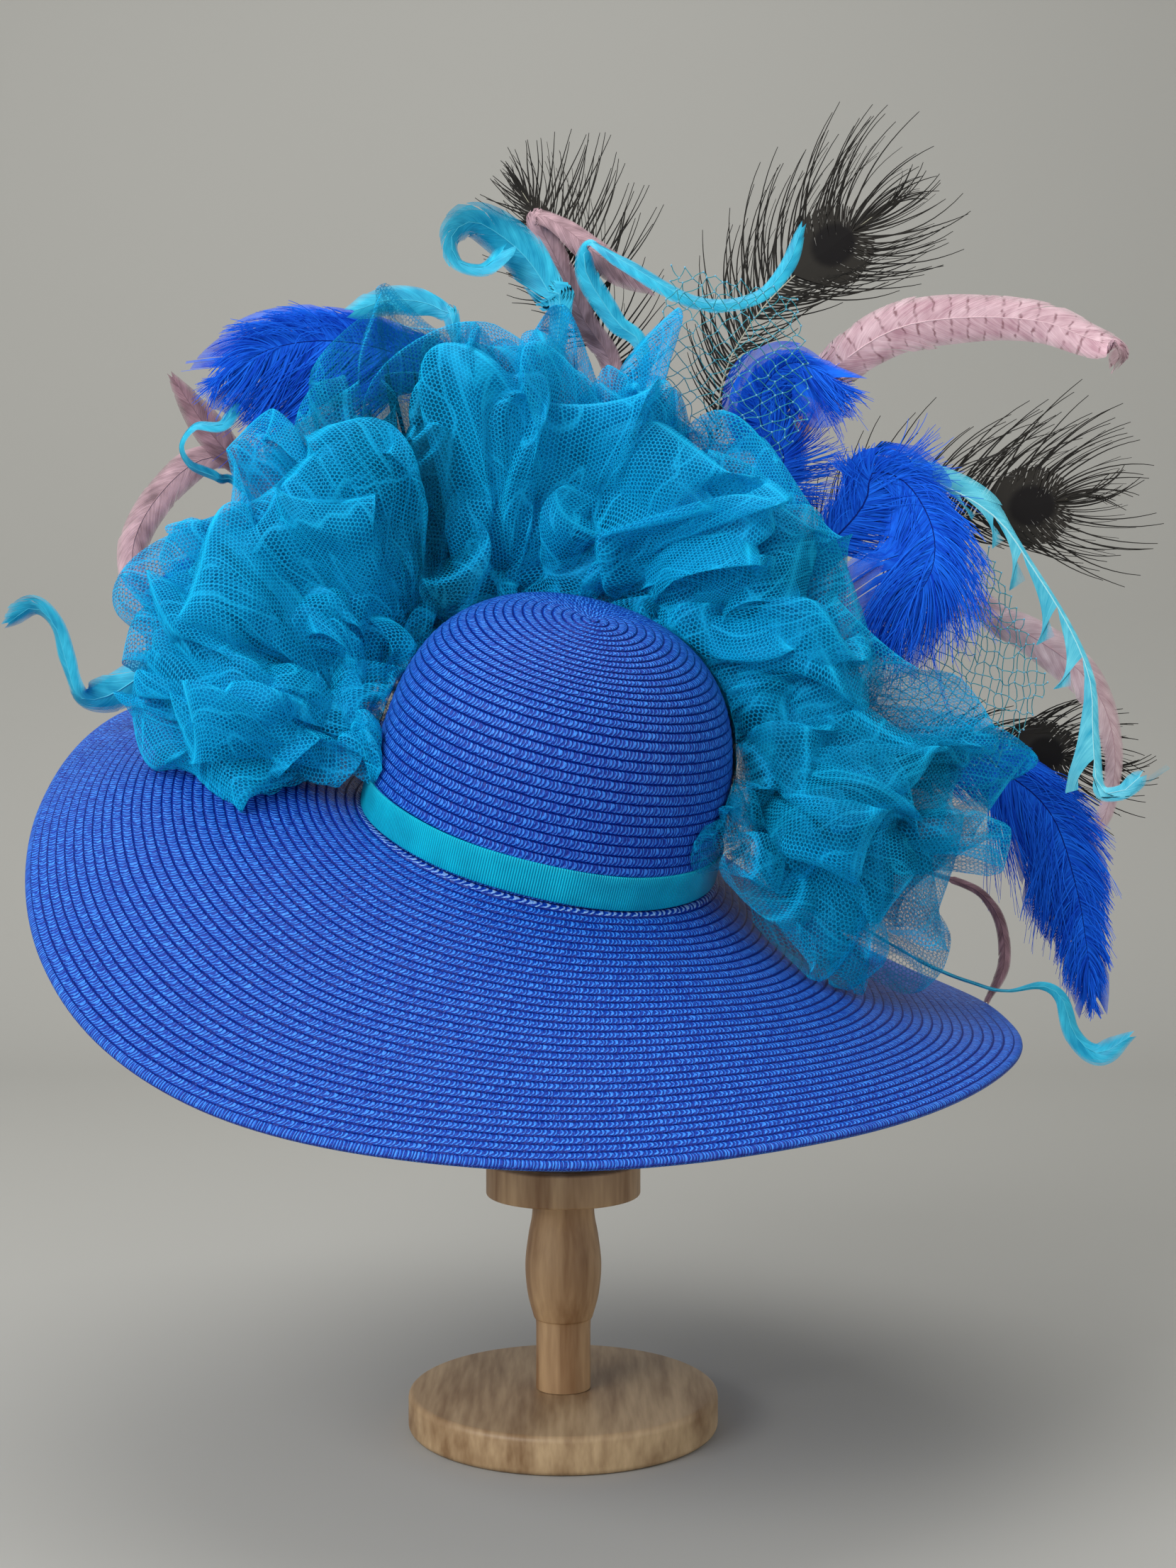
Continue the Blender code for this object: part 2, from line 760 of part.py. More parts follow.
def ruffle_edge(name, place):
    """Where a ruffle of the swag ends, at one place along it."""
    if name == "back":
        direction = along([(row.direction,) for row in SWAG], place)[0]
        turn = math.radians(90 + (direction - 90) * BACK_TURN)
        right, back, up = hat_axes()
        aim = math.cos(turn) * right + math.sin(turn) * back - BACK_FALL * up
        return roll_centre(place) + unit(aim) * BACK_REACH
    return along([getattr(row, name) for row in SWAG], place)


def lift_clear(point, brim_tree, clear):
    """Moves a point out of the crown and above the brim, by at least the clearance."""
    spot = to_hat(point)
    if spot[2] < CROWN_PROFILE[-1].height + clear:
        wide = crown_share(max(spot[2] - clear / 2, 0)) + clear / CROWN_SIDE
        share = math.hypot(spot[0] / CROWN_SIDE, spot[1] / CROWN_FRONT)
        if share < wide:
            spot[:2] *= wide / max(share, LEAST_SHARE)
    above = to_world((spot[0], spot[1], LOOK_DOWN))
    hit = brim_tree.ray_cast(Vector(above * MM), Vector(-hat_axes()[2]))[0]
    if hit is not None:
        floor = to_hat(np.array(hit) / MM)[2] + clear
        spot[2] = max(spot[2], floor)
    return to_world(spot)


def ruffle_sheet(name, ruffle, start, end, steps, brim_tree):
    """One folded ruffle between two places along the swag, as a thickened sheet."""
    places = np.linspace(start, end, steps + 1)
    nudge = 0.5 / steps * (end - start)
    points = []
    for row in range(ruffle.rows + 1):
        reach = row / ruffle.rows
        for place in places:
            centre = roll_centre(place)
            edge = ruffle_edge(ruffle.name, place)
            low, high = max(place - nudge, 0), min(place + nudge, 1)
            run = ruffle_edge(ruffle.name, high) - ruffle_edge(ruffle.name, low)
            normal = unit(np.cross(run, edge - centre))
            wave = 2 * math.pi * (place * FOLDS + ruffle.phase)
            reach_here = reach * (1 + FOLD_SCALLOP * math.cos(2 * wave))
            inside = unit(edge - centre) * ROLL_RADIUS * RUFFLE_START * (1 - reach)
            point = centre + inside + (edge - centre) * reach_here
            point = point + normal * FOLD_DEPTH * math.sin(wave) * reach**FOLD_GROWTH
            points.append(lift_clear(point, brim_tree, TULLE_CLEAR) if row else point)
    faces = grid_faces(ruffle.rows + 1, len(places), False)
    sheet = add_object(name, points, faces, "tulle")
    thicken(sheet, TULLE_THICKNESS, 0)
    return sheet


def gathered_roll(name, start, end, steps):
    """The gathered core of one part of the swag, a capped tube."""
    places = np.linspace(start, end, steps + 1)
    points = []
    for place in places:
        centre = roll_centre(place)
        out, side = roll_section(place)
        for corner in range(ROLL_SIDES):
            turn = 2 * math.pi * corner / ROLL_SIDES
            points.append(centre + ROLL_RADIUS * (math.cos(turn) * out + math.sin(turn) * side))
    faces = grid_faces(len(places), ROLL_SIDES, True)
    faces.append(tuple(range(ROLL_SIDES)))
    faces.append(tuple(len(points) - 1 - corner for corner in range(ROLL_SIDES)))
    roll = add_object(name, points, faces, "tulle")
    turn_outward(roll)
    return roll


def make_tulle(brim_tree):
    """The swag in three parts that meet, each a roll with its ruffles fused to it."""
    parts = []
    length = np.linalg.norm(np.diff([roll_centre(p) for p in np.linspace(0, 1, 50)], axis=0), axis=1)
    gap = TULLE_GAP / length.sum()
    for index, name in enumerate(TULLE_PARTS):
        start = index / len(TULLE_PARTS) + (gap / 2 if index else 0)
        end = (index + 1) / len(TULLE_PARTS) - (gap / 2 if index < len(TULLE_PARTS) - 1 else 0)
        steps = round(FOLDS * STEPS_PER_FOLD / len(TULLE_PARTS))
        roll = gathered_roll(name, start, end, steps // 2)
        for ruffle in RUFFLES:
            inset = ruffle.inset / length.sum()
            span = (start + inset, end - inset)
            sheet = ruffle_sheet(name + "_" + ruffle.name, ruffle, *span, steps, brim_tree)
            fuse(roll, sheet)
        parts.append(roll)
    return parts


def seat_on(start, place, trees, clear):
    """Where a quill from the start point meets the swag, clear of it by the given distance."""
    aim = unit(roll_centre(place) - start)
    hits = [tree.ray_cast(Vector(start * MM), Vector(aim)) for tree in trees]
    reach = min(hit[3] for hit in hits if hit[0] is not None) / MM
    half = side_direction(aim, 0) * QUILL_HALF
    while True:
        tips = [Vector((start + aim * reach + offset) * MM) for offset in (-half, 0 * half, half)]
        near = min(tree.find_nearest(tip)[3] for tree in trees for tip in tips)
        if near > clear * MM:
            return start + aim * reach
        reach -= SEAT_STEP


def side_direction(along_shaft, turn):
    """The vane's direction to the right of the shaft, turned about the shaft."""
    toward = np.array([0.0, -1.0, 0.0])
    right = unit(np.cross(along_shaft, toward))
    front = np.cross(right, along_shaft)
    angle = math.radians(turn)
    return math.cos(angle) * right + math.sin(angle) * front


def make_feather(name, feather, trees, brim_tree):
    """A feather as one sheet: a cambered vane on a shaft, with tapered locks on both sides."""
    first = np.array(feather.spine[0][:3], float)
    seat = seat_on(first, feather.seat, trees, QUILL_CLEAR)
    rows = [Spine(*seat, QUILL_HALF), *feather.spine]
    count = max(round(feather.steps * len(rows)), 2 * feather.locks + 4) + 1
    samples = curve_through(rows, count)
    spine = np.array([lift_clear(p, brim_tree, TULLE_CLEAR) for p in samples[:, :3]])
    runs = np.gradient(spine, axis=0)
    points = []
    rights = []
    for place, run, sample in zip(spine, runs, samples):
        right = side_direction(unit(run), sample[4])
        half = max(sample[3], HALF_LEAST)
        lift = np.cross(right, unit(run)) * half * VANE_CAMBER
        points.extend([place - right * half, place + lift, place + right * half])
        rights.append(right)
    faces = grid_faces(count, 3, False)
    last_lock = count - 2
    first_lock = last_lock - 2 * feather.locks
    for lock in range(feather.locks):
        low = first_lock + 2 * lock + 1
        high = low + 1
        for edge, sign, column in ((0, -1, 5), (2, 1, 6)):
            length = max(samples[low][column], 0)
            if length < LOCK_LEAST:
                continue
            root = (points[3 * low + edge] + points[3 * high + edge]) / 2
            thin = (points[3 * high + edge] - points[3 * low + edge]) / 2
            angle = math.radians(feather.sweep)
            forward = unit(runs[low])
            aside = rights[low] * sign
            back = np.cross(rights[low], forward) * (1 if lock % 2 else -1) * feather.curl
            aim = math.cos(angle) * forward + math.sin(angle) * aside + back
            tip_aim = math.cos(angle / 2) * forward + math.sin(angle / 2) * aside + LOCK_TIP_CURL * back
            middle = root + aim * length * LOCK_BEND
            tip = middle + tip_aim * length * (1 - LOCK_BEND)
            base = len(points)
            points.extend([middle - thin * LOCK_TAPER, middle + thin * LOCK_TAPER, tip])
            corners = [3 * low + edge, 3 * high + edge, base + 1, base]
            ends = [base, base + 1, base + 2]
            faces.append(tuple(corners if sign > 0 else reversed(corners)))
            faces.append(tuple(ends if sign > 0 else reversed(ends)))
    obj = add_object(name, points, faces, feather.finish)
    turn_outward(obj)
    thicken(obj, feather.thickness, 0)


def make_net(name, net, trees):
    """A piece of coarse net, cut through at every mesh and sewn to the swag at its root."""
    root = net.rows[0]
    left = seat_on(np.array(root.left, float), net.seat - NET_ROOT, trees, NET_CLEAR)
    right = seat_on(np.array(root.right, float), net.seat + NET_ROOT, trees, NET_CLEAR)
    rows = [(*left, *right, 0.0)] + [(*row.left, *row.right, row.bulge) for row in net.rows]
    rows = curve_through(rows, net.along + 1)
    points = []
    for row in rows:
        for column in range(net.across + 1):
            share = column / net.across
            point = row[:3] * (1 - share) + row[3:6] * share
            point = point - np.array([0, row[6] * math.sin(math.pi * share), 0])
            points.append(point)
    wide = net.across + 1
    faces = []
    for row in range(1, net.along):
        for column in range(1, net.across):
            if (row + column) % 2:
                here = row * wide + column
                faces.append((here - wide, here + 1, here + wide, here - 1))
    used = sorted({index for face in faces for index in face})
    order = {index: place for place, index in enumerate(used)}
    faces = [tuple(order[index] for index in face) for face in faces]
    obj = add_object(name, [points[index] for index in used], faces, "net")
    shape = bmesh.new()
    shape.from_mesh(obj.data)
    meshes = list(shape.faces)
    bmesh.ops.inset_individual(shape, faces=meshes, thickness=NET_STRAND / 2 * MM)
    bmesh.ops.delete(shape, geom=meshes, context="FACES")
    shape.to_mesh(obj.data)
    shape.free()
    thicken(obj, NET_THICKNESS, 0)


def main():
    """Builds the stand, the hat and its trimmings."""
    clear_scene()
    make_stand()
    make_crown()
    brim_tree = evaluated_tree(make_brim())
    make_ribbon()
    swag_trees = [evaluated_tree(part) for part in make_tulle(brim_tree)]
    for name, feather in FEATHERS.items():
        make_feather(name, feather, swag_trees, brim_tree)
    for name, net in NETS.items():
        make_net(name, net, swag_trees)


main()
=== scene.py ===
"""Race day hat of braided straw on its turned stand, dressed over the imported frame.

Sizes are in millimetres and angles in degrees. MM turns a size into Blender's metres where a
mesh is made. The origin is the centre of the stand's underside, +Z is up, +X is to the right as
the hat is shown and -Y faces the viewer. Tables of rings, slopes and feather rows repeat the
solids' own, so each dressed piece lies where its solid lies. Each mesh carries a lay, which says
where its corners lie on their own plait, cloth or feather, and which its finish reads.
"""

import logging
import math
from collections.abc import Callable, Iterable
from dataclasses import dataclass, field
from enum import Enum
from functools import partial
import bpy
import numpy as np
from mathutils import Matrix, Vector
from mathutils.bvhtree import BVHTree


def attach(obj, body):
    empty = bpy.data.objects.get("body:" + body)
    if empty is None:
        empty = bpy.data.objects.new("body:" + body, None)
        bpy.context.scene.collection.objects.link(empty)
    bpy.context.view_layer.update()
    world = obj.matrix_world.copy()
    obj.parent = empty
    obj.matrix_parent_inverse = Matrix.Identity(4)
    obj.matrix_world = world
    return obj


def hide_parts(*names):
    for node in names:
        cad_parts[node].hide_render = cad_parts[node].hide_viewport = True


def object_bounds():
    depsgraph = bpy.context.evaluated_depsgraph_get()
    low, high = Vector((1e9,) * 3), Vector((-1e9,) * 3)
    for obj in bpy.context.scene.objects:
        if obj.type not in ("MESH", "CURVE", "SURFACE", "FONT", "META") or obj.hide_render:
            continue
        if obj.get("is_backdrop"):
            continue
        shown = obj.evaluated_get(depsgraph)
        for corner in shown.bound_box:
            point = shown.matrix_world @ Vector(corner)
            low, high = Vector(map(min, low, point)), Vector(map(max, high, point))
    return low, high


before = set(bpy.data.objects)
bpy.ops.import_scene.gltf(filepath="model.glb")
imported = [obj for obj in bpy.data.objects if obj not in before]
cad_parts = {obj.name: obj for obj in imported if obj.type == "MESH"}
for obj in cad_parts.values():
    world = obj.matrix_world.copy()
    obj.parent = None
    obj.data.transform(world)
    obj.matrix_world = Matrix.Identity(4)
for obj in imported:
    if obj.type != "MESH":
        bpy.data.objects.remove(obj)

CAD_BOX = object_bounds()
MM = 0.001
FULL_TURN = 2 * math.pi
LOG = logging.getLogger("race_day_hat")
Colour = tuple[float, float, float, float]
Place = tuple[float, float, float]
Values = float | np.ndarray
BODY = "root"
# Lengths are measured along this point of a plait's or ribbon's section.
CREST = 3
# Tones of the brim's first row and its edge, of a quill and of an eye's middle.
FIRST_ROW = 50.0
EDGE_ROW = 99.0
QUILL_TONE = 2.0
EYE_TONE = 3.0


def linear(code: str) -> Colour:
    """Turns an sRGB hex colour into linear values.

    Args:
        code: the colour as six hex digits after a hash sign.

    Returns:
        Red, green, blue and alpha, linear.
    """
    parts = (int(code[place : place + 2], 16) / 255 for place in (1, 3, 5))
    values = (v / 12.92 if v <= 0.04045 else ((v + 0.055) / 1.055) ** 2.4 for v in parts)
    return (*values, 1.0)


def fill(node: bpy.types.Node, inputs: dict) -> None:
    """Sets a node's inputs.

    Args:
        node: the node.
        inputs: values by input name or number; a socket, or a node's first output, is linked.
    """
    for name, value in inputs.items():
        if isinstance(value, bpy.types.Node):
            value = next(socket for socket in value.outputs if socket.enabled)
        if isinstance(value, bpy.types.NodeSocket):
            node.id_data.links.new(value, node.inputs[name])
        else:
            node.inputs[name].default_value = value


def add_node(
    tree: bpy.types.NodeTree, kind: str, inputs: dict | None = None, **settings: object
) -> bpy.types.Node:
    """Adds a node to a tree, with its settings and links.

    Args:
        tree: the node tree.
        kind: the node's type name, after the words that all shader nodes share.
        inputs: values by input name or number, as fill takes them.
        settings: properties of the node by name.

    Returns:
        The new node.
    """
    node = tree.nodes.new("ShaderNode" + kind)
    for name, value in settings.items():
        setattr(node, name, value)
    fill(node, inputs or {})
    return node


def start_material(name: str) -> tuple[bpy.types.Material, Callable, bpy.types.Node]:
    """Starts a material.

    Args:
        name: the material's name.

    Returns:
        The material, the function that adds a node to it, and its Principled shader.
    """
    material = bpy.data.materials.new(name)
    material.use_nodes = True
    tree = material.node_tree
    return material, partial(add_node, tree), tree.nodes["Principled BSDF"]


def lay_sockets(add: Callable) -> list[bpy.types.NodeSocket]:
    """Sockets of the lay: the distance along, the distance or share across, and the tone."""
    lay = add("Attribute", attribute_name="lay")
    return list(add("SeparateXYZ", {0: lay.outputs["Vector"]}).outputs)


@dataclass(frozen=True)
class PaperStraw:
    """Paper straw, plaited flat and sewn in rows.

    The colour and the bump both follow the strokes of the plait: a painted highlight lies along
    the strokes' raised tops, and painted shade, nearly navy, in the gaps between strokes and
    between the plaits. Strokes are 2 mm apart, lean and bow across the plait, and wander; scales
    count patches to a millimetre. The brim's first row is paler where the painted highlight lies.
    """

    name: str = "paper_straw_plaited"
    painted_highlight: str = "#3f93fa"
    body: str = "#0440b2"
    painted_gap_shade_edge: str = "#052a90"
    gap: str = "#00106c"
    first: str = "#8fb9ea"
    stroke: float = 2.0
    slant: float = 1.0
    bow: float = 5.0
    bow_middle: float = 0.45
    wander: float = 3.4
    wander_scale: float = 0.55
    seam: float = 0.15
    grit: float = 0.9
    grit_scale: float = 1.7
    relief: float = 0.6
    roughness: float = 0.38

    def build(self) -> bpy.types.Material:
        """Builds the material.

        Returns:
            The material.
        """
        material, add, shader = start_material(self.name)
        along, across, tone = lay_sockets(add)
        half = add("Math", {0: across, 1: self.bow_middle}, operation="SUBTRACT")
        bow = add("Math", {0: half, 1: half}, operation="MULTIPLY")
        bent = add("Math", {0: bow, 1: self.bow, 2: along}, operation="MULTIPLY_ADD")
        lean = add("Math", {0: across, 1: self.slant, 2: bent}, operation="MULTIPLY_ADD")
        spot = add("CombineXYZ", {0: along, 1: across, 2: tone})
        noise = add("TexNoise", {"Vector": spot, "Scale": self.wander_scale, "Detail": 3.0})
        place = add("Math", {0: noise, 1: self.wander, 2: lean}, operation="MULTIPLY_ADD")
        phase = add("Math", {0: place, 1: FULL_TURN / self.stroke}, operation="MULTIPLY")
        wave = add("Math", {0: phase}, operation="SINE")
        stroke = add("MapRange", {"Value": wave, "From Min": -0.9, "From Max": 0.6,
                                  "To Min": 0.25}, interpolation_type="SMOOTHSTEP")
        shift = add("Math", {0: noise, 1: 2 * self.seam, 2: across}, operation="MULTIPLY_ADD")
        inset = add("Math", {0: shift, 1: self.seam}, operation="SUBTRACT")
        edge = add("Math", {0: inset, 1: 0.5}, operation="PINGPONG")
        rise = add("MapRange", {"Value": edge, "From Min": 0.0, "From Max": self.seam},
                   interpolation_type="SMOOTHSTEP")
        raised = add("Math", {0: stroke, 1: rise}, operation="MULTIPLY")
        grit = add("TexNoise", {"Vector": spot, "Scale": self.grit_scale, "Detail": 3.0})
        level = add("Math", {0: grit, 1: self.grit, 2: raised}, operation="MULTIPLY_ADD")
        # Painted shade: the ramp turns nearly navy where the level is low, in the seams and
        # between strokes.
        ramp = add("ValToRGB", {"Fac": level})
        steps = ramp.color_ramp.elements
        steps[0].position = 0.3
        steps[0].color = linear(self.gap)
        steps[1].position = 1.0
        steps[1].color = linear(self.body)
        steps.new(0.62).color = linear(self.painted_gap_shade_edge)
        # Painted highlight: the strokes' raised tops, where the level is highest, take the
        # highlight colour.
        bright = add("MapRange", {"Value": level, "From Min": 1.2, "From Max": 1.6},
                     interpolation_type="SMOOTHSTEP")
        colour = add("Mix", {"Factor": bright, "A": ramp, "B": linear(self.painted_highlight)},
                     data_type="RGBA")
        # The first row's paler colour is laid only where the painted highlight lies.
        is_first = add("Math", {0: tone, 1: FIRST_ROW, 2: 0.1}, operation="COMPARE")
        paled = add("Math", {0: is_first, 1: bright}, operation="MULTIPLY")
        colour = add("Mix", {"Factor": paled, "A": colour, "B": linear(self.first)},
                     data_type="RGBA")
        bump = add("Bump", {"Height": level, "Strength": 0.8, "Distance": self.relief * MM})
        fill(shader, {"Base Color": colour, "Normal": bump, "Roughness": self.roughness,
                      "Specular IOR Level": 0.26})
        return material


@dataclass(frozen=True)
class Grosgrain:
    """Grosgrain ribbon of spun viscose: a fine rib across its width and a soft, even sheen.

    The ribs are 1.2 mm apart, their hollows darkened with painted shade. Slow clouds of tone, at
    random, are about 16 mm across.
    """

    name: str = "grosgrain_ribbon"
    face: str = "#00d2f0"
    shade: str = "#0090b2"
    rib: float = 1.2
    cloud_scale: float = 0.06
    relief: float = 0.3
    roughness: float = 0.5

    def build(self) -> bpy.types.Material:
        """Builds the material.

        Returns:
            The material.
        """
        material, add, shader = start_material(self.name)
        along, across, tone = lay_sockets(add)
        phase = add("Math", {0: along, 1: FULL_TURN / self.rib}, operation="MULTIPLY")
        wave = add("Math", {0: phase}, operation="SINE")
        spot = add("CombineXYZ", {0: along, 1: across, 2: tone})
        cloud = add("TexNoise", {"Vector": spot, "Scale": self.cloud_scale, "Detail": 2.0})
        # Painted shade: the rib's wave darkens the colour in the ribs' hollows; the clouds are
        # random tone.
        level = add("Math", {0: wave, 1: 0.3, 2: cloud}, operation="MULTIPLY_ADD")
        colour = add("Mix", {"Factor": level, "A": linear(self.shade), "B": linear(self.face)},
                     data_type="RGBA")
        bump = add("Bump", {"Height": wave, "Strength": 0.8, "Distance": self.relief * MM})
        fill(shader, {"Base Color": colour, "Normal": bump, "Roughness": self.roughness,
                      "Specular IOR Level": 0.2})
        return material


@dataclass(frozen=True)
class NylonTulle:
    """Nylon tulle, a sheer six-sided net.

    One layer tints what is behind it. Threads close up where the net is creased, and there the
    colour is painted paler, a painted highlight, so folds show as bright lines. The real holes
    are 1.2 mm, too fine to show, so they are drawn twice as wide. Creases come in two sizes,
    each a width and a length. A tone above 0 closes the net and pales it, and one below 0 thins
    it and darkens it towards the single colour, a painted shade.
    """

    name: str = "nylon_tulle"
    thread: str = "#20d3ff"
    deep: str = "#009ad4"
    # The single colour is a painted shade, laid where the net thins in the valley and at the right
    # end.
    single: str = "#00305a"
    hole: float = 2.3
    thread_alpha: float = 0.76
    hole_alpha: float = 0.12
    thread_share: float = 0.45
    creases: tuple[tuple[float, float], ...] = ((20.0, 120.0), (33.0, 48.0))
    crease_share: float = 0.55
    crease_width: float = 0.02
    relief: float = 12.0
    roughness: float = 0.6

    def build(self) -> bpy.types.Material:
        """Builds the material.

        Returns:
            The material.
        """
        material, add, shader = start_material(self.name)
        along, across, tone = lay_sockets(add)
        turns = 2 * FULL_TURN / (math.sqrt(3) * self.hole)
        waves = []
        for turn in np.radians((0, 60, 120)):
            part = add("Math", {0: across, 1: turns * math.sin(turn)}, operation="MULTIPLY")
            phase = add("Math", {0: along, 1: turns * math.cos(turn), 2: part},
                        operation="MULTIPLY_ADD")
            waves.append(add("Math", {0: phase}, operation="COSINE"))
            if len(waves) > 1:
                waves = [add("Math", {0: waves[0], 1: waves[1]}, operation="ADD")]
        web = add("MapRange", {"Value": waves[0], "From Min": 0.1, "From Max": -1.2},
                  interpolation_type="SMOOTHSTEP")
        spot = add("CombineXYZ", {0: along, 1: across})
        lines = []
        for wide, tall in self.creases:
            shrunk = add("VectorMath", {0: spot, 1: (1 / wide, 1 / tall, 0)}, operation="MULTIPLY")
            drift = add("TexNoise", {"Vector": shrunk, "Scale": 1.0, "Detail": 0.6})
            middle = add("Math", {0: drift, 1: 0.5}, operation="SUBTRACT")
            away = add("Math", {0: middle}, operation="ABSOLUTE")
            lines.append(add("MapRange", {"Value": away, "From Min": self.crease_width,
                                          "From Max": 0.0, "To Max": self.crease_share},
                             interpolation_type="SMOOTHSTEP"))
        fold = add("Math", {0: lines[0], 1: lines[1]}, operation="MAXIMUM")
        crease_closing_and_highlight = add("Math", {0: fold, 1: tone}, operation="MAXIMUM")
        sheer = add("MapRange", {"Value": web, "To Min": self.hole_alpha,
                                 "To Max": self.thread_alpha})
        rest = add("Math", {0: 1.0, 1: sheer}, operation="SUBTRACT")
        alpha = add("Math", {0: crease_closing_and_highlight, 1: rest, 2: sheer}, operation="MULTIPLY_ADD",
                    use_clamp=True)
        # Below 0 the tone thins the net and mixes its colour towards the single colour, a painted
        # shade.
        thin = add("Math", {0: tone, 1: 1.0}, operation="ADD", use_clamp=True)
        alpha = add("Math", {0: alpha, 1: thin}, operation="MULTIPLY")
        # Painted highlight: where a crease closes the net, its colour turns to the paler thread
        # colour.
        thread = add("Math", {0: web, 1: self.thread_share}, operation="MULTIPLY")
        pale = add("Math", {0: thread, 1: crease_closing_and_highlight}, operation="MAXIMUM")
        colour = add("Mix", {"Factor": pale, "A": linear(self.deep), "B": linear(self.thread)},
                     data_type="RGBA")
        colour = add("Mix", {"Factor": thin, "A": linear(self.single), "B": colour},
                     data_type="RGBA")
        bump = add("Bump", {"Height": drift, "Strength": 0.6, "Distance": self.relief * MM})
        fill(shader, {"Base Color": colour, "Alpha": alpha, "Normal": bump,
                      "Roughness": self.roughness, "Diffuse Roughness": 1.0,
                      "Specular IOR Level": 0.05})
        return material


@dataclass(frozen=True)
class DyedFeather:
    """A dyed or natural feather: barbs of slightly different tone side by side on a pale quill.

    A barred feather has darker bars across it, some of them faded. Scales count patches to a
    millimetre: clouds 11 mm across, and streaks of about a millimetre that run along a barb.
    """

    name: str
    dark: str
    light: str
    quill: str
    roughness: float = 0.5
    gloss: float = 0.25
    bar: str = ""
    bar_pitch: float = 9.0
    bar_share: float = 0.10
    bar_wander: float = 7.0
    eye: str = ""
    cloud_scale: float = 0.09
    patch_scale: float = 0.16
    streak_scale: float = 1.1
    streak_stretch: float = 0.03
    relief: float = 0.3

    def build(self) -> bpy.types.Material:
        """Builds the material.

        Returns:
            The material.
        """
        material, add, shader = start_material(self.name)
        barb, place, tone = lay_sockets(add)
        spot = add("CombineXYZ", {0: barb, 1: place})
        cloud = add("TexNoise", {"Vector": spot, "Scale": self.cloud_scale, "Detail": 2.0})
        slow = add("Math", {0: place, 1: self.streak_stretch}, operation="MULTIPLY")
        line = add("CombineXYZ", {0: barb, 1: slow})
        streak = add("TexNoise", {"Vector": line, "Scale": self.streak_scale, "Detail": 2.0})
        level = add("Math", {0: tone, 1: 0.4, 2: cloud}, operation="MULTIPLY_ADD")
        level = add("Math", {0: streak, 1: 0.6, 2: level}, operation="MULTIPLY_ADD")
        part = add("MapRange", {"Value": level, "From Min": 0.65, "From Max": 1.35})
        colour = add("Mix", {"Factor": part, "A": linear(self.dark), "B": linear(self.light)},
                     data_type="RGBA")
        if self.bar:
            wander = add("Math", {0: cloud, 1: self.bar_wander, 2: place},
                         operation="MULTIPLY_ADD")
            share = add("Math", {0: wander, 1: self.bar_pitch}, operation="DIVIDE")
            cycle = add("Math", {0: share, 1: 0.5}, operation="PINGPONG")
            bar = add("MapRange", {"Value": cycle, "From Min": self.bar_share,
                                   "From Max": self.bar_share / 3, "To Max": 0.8},
                      interpolation_type="SMOOTHSTEP")
            patch = add("TexNoise", {"Vector": spot, "Scale": self.patch_scale, "Detail": 1.0})
            fade = add("MapRange", {"Value": patch, "From Min": 0.38, "From Max": 0.6})
            shown = add("Math", {0: bar, 1: fade}, operation="MULTIPLY")
            colour = add("Mix", {"Factor": shown, "A": colour, "B": linear(self.bar)},
                         data_type="RGBA")
        if self.eye:
            ring = add("MapRange", {"Value": tone, "From Min": EYE_TONE - 0.5,
                                    "From Max": EYE_TONE - 0.28}, interpolation_type="SMOOTHSTEP")
            colour = add("Mix", {"Factor": ring, "A": colour, "B": linear(self.eye)},
                         data_type="RGBA")
        is_quill = add("Math", {0: tone, 1: QUILL_TONE, 2: 0.01}, operation="COMPARE")
        colour = add("Mix", {"Factor": is_quill, "A": colour, "B": linear(self.quill)},
                     data_type="RGBA")
        bump = add("Bump", {"Height": streak, "Strength": 0.5, "Distance": self.relief * MM})
        fill(shader, {"Base Color": colour, "Normal": bump, "Roughness": self.roughness,
                      "Specular IOR Level": self.gloss})
        return material


@dataclass(frozen=True)
class KnottedThread:
    """Stiffened nylon thread of millinery net, dark, with paler knots where threads cross."""

    name: str = "knotted_net_thread"
    thread: str = "#1b8f9c"
    knot: str = "#6fb6d6"
    roughness: float = 0.45

    def build(self) -> bpy.types.Material:
        """Builds the material.

        Returns:
            The material.
        """
        material, add, shader = start_material(self.name)
        _, _, tone = lay_sockets(add)
        colour = add("Mix", {"Factor": tone, "A": linear(self.thread), "B": linear(self.knot)},
                     data_type="RGBA")
        fill(shader, {"Base Color": colour, "Roughness": self.roughness})
        return material


@dataclass(frozen=True)
class TurnedPine:
    """Turned pine: pale wood with a fine grain of darker lines.

    The lines run up the post and the disc, and from front to back in the foot, which is a board.
    Broad figure bends them, and the grain between is 3.2 mm wide.
    """

    name: str = "turned_pine"
    light: str = "#c9a67c"
    dark: str = "#8a6440"
    stretch: Place = (1.0, 1.0, 0.12)
    lean: Place = (0.12, 0.2, 0.0)
    figure_scale: float = 22.0
    figure_lines: float = 26.0
    figure_share: float = 0.28
    grain: float = 3.2
    relief: float = 0.3
    roughness: float = 0.5

    def build(self) -> bpy.types.Material:
        """Builds the material.

        Returns:
            The material.
        """
        material, add, shader = start_material(self.name)
        place = add("TexCoord").outputs["Object"]
        spot = add("Mapping", {"Vector": place, "Scale": self.stretch, "Rotation": self.lean})
        noise = add("TexNoise", {"Vector": spot, "Scale": self.figure_scale, "Detail": 3.0})
        bent = add("Math", {0: noise, 1: self.figure_lines}, operation="MULTIPLY")
        wave = add("Math", {0: bent}, operation="SINE")
        fine = add("TexNoise", {"Vector": spot, "Scale": 1 / (self.grain * MM), "Detail": 2.0})
        level = add("Math", {0: wave, 1: self.figure_share, 2: fine}, operation="MULTIPLY_ADD")
        colour = add("Mix", {"Factor": level, "A": linear(self.dark), "B": linear(self.light)},
                     data_type="RGBA")
        bump = add("Bump", {"Height": level, "Strength": 0.2, "Distance": self.relief * MM})
        fill(shader, {"Base Color": colour, "Normal": bump, "Roughness": self.roughness})
        return material


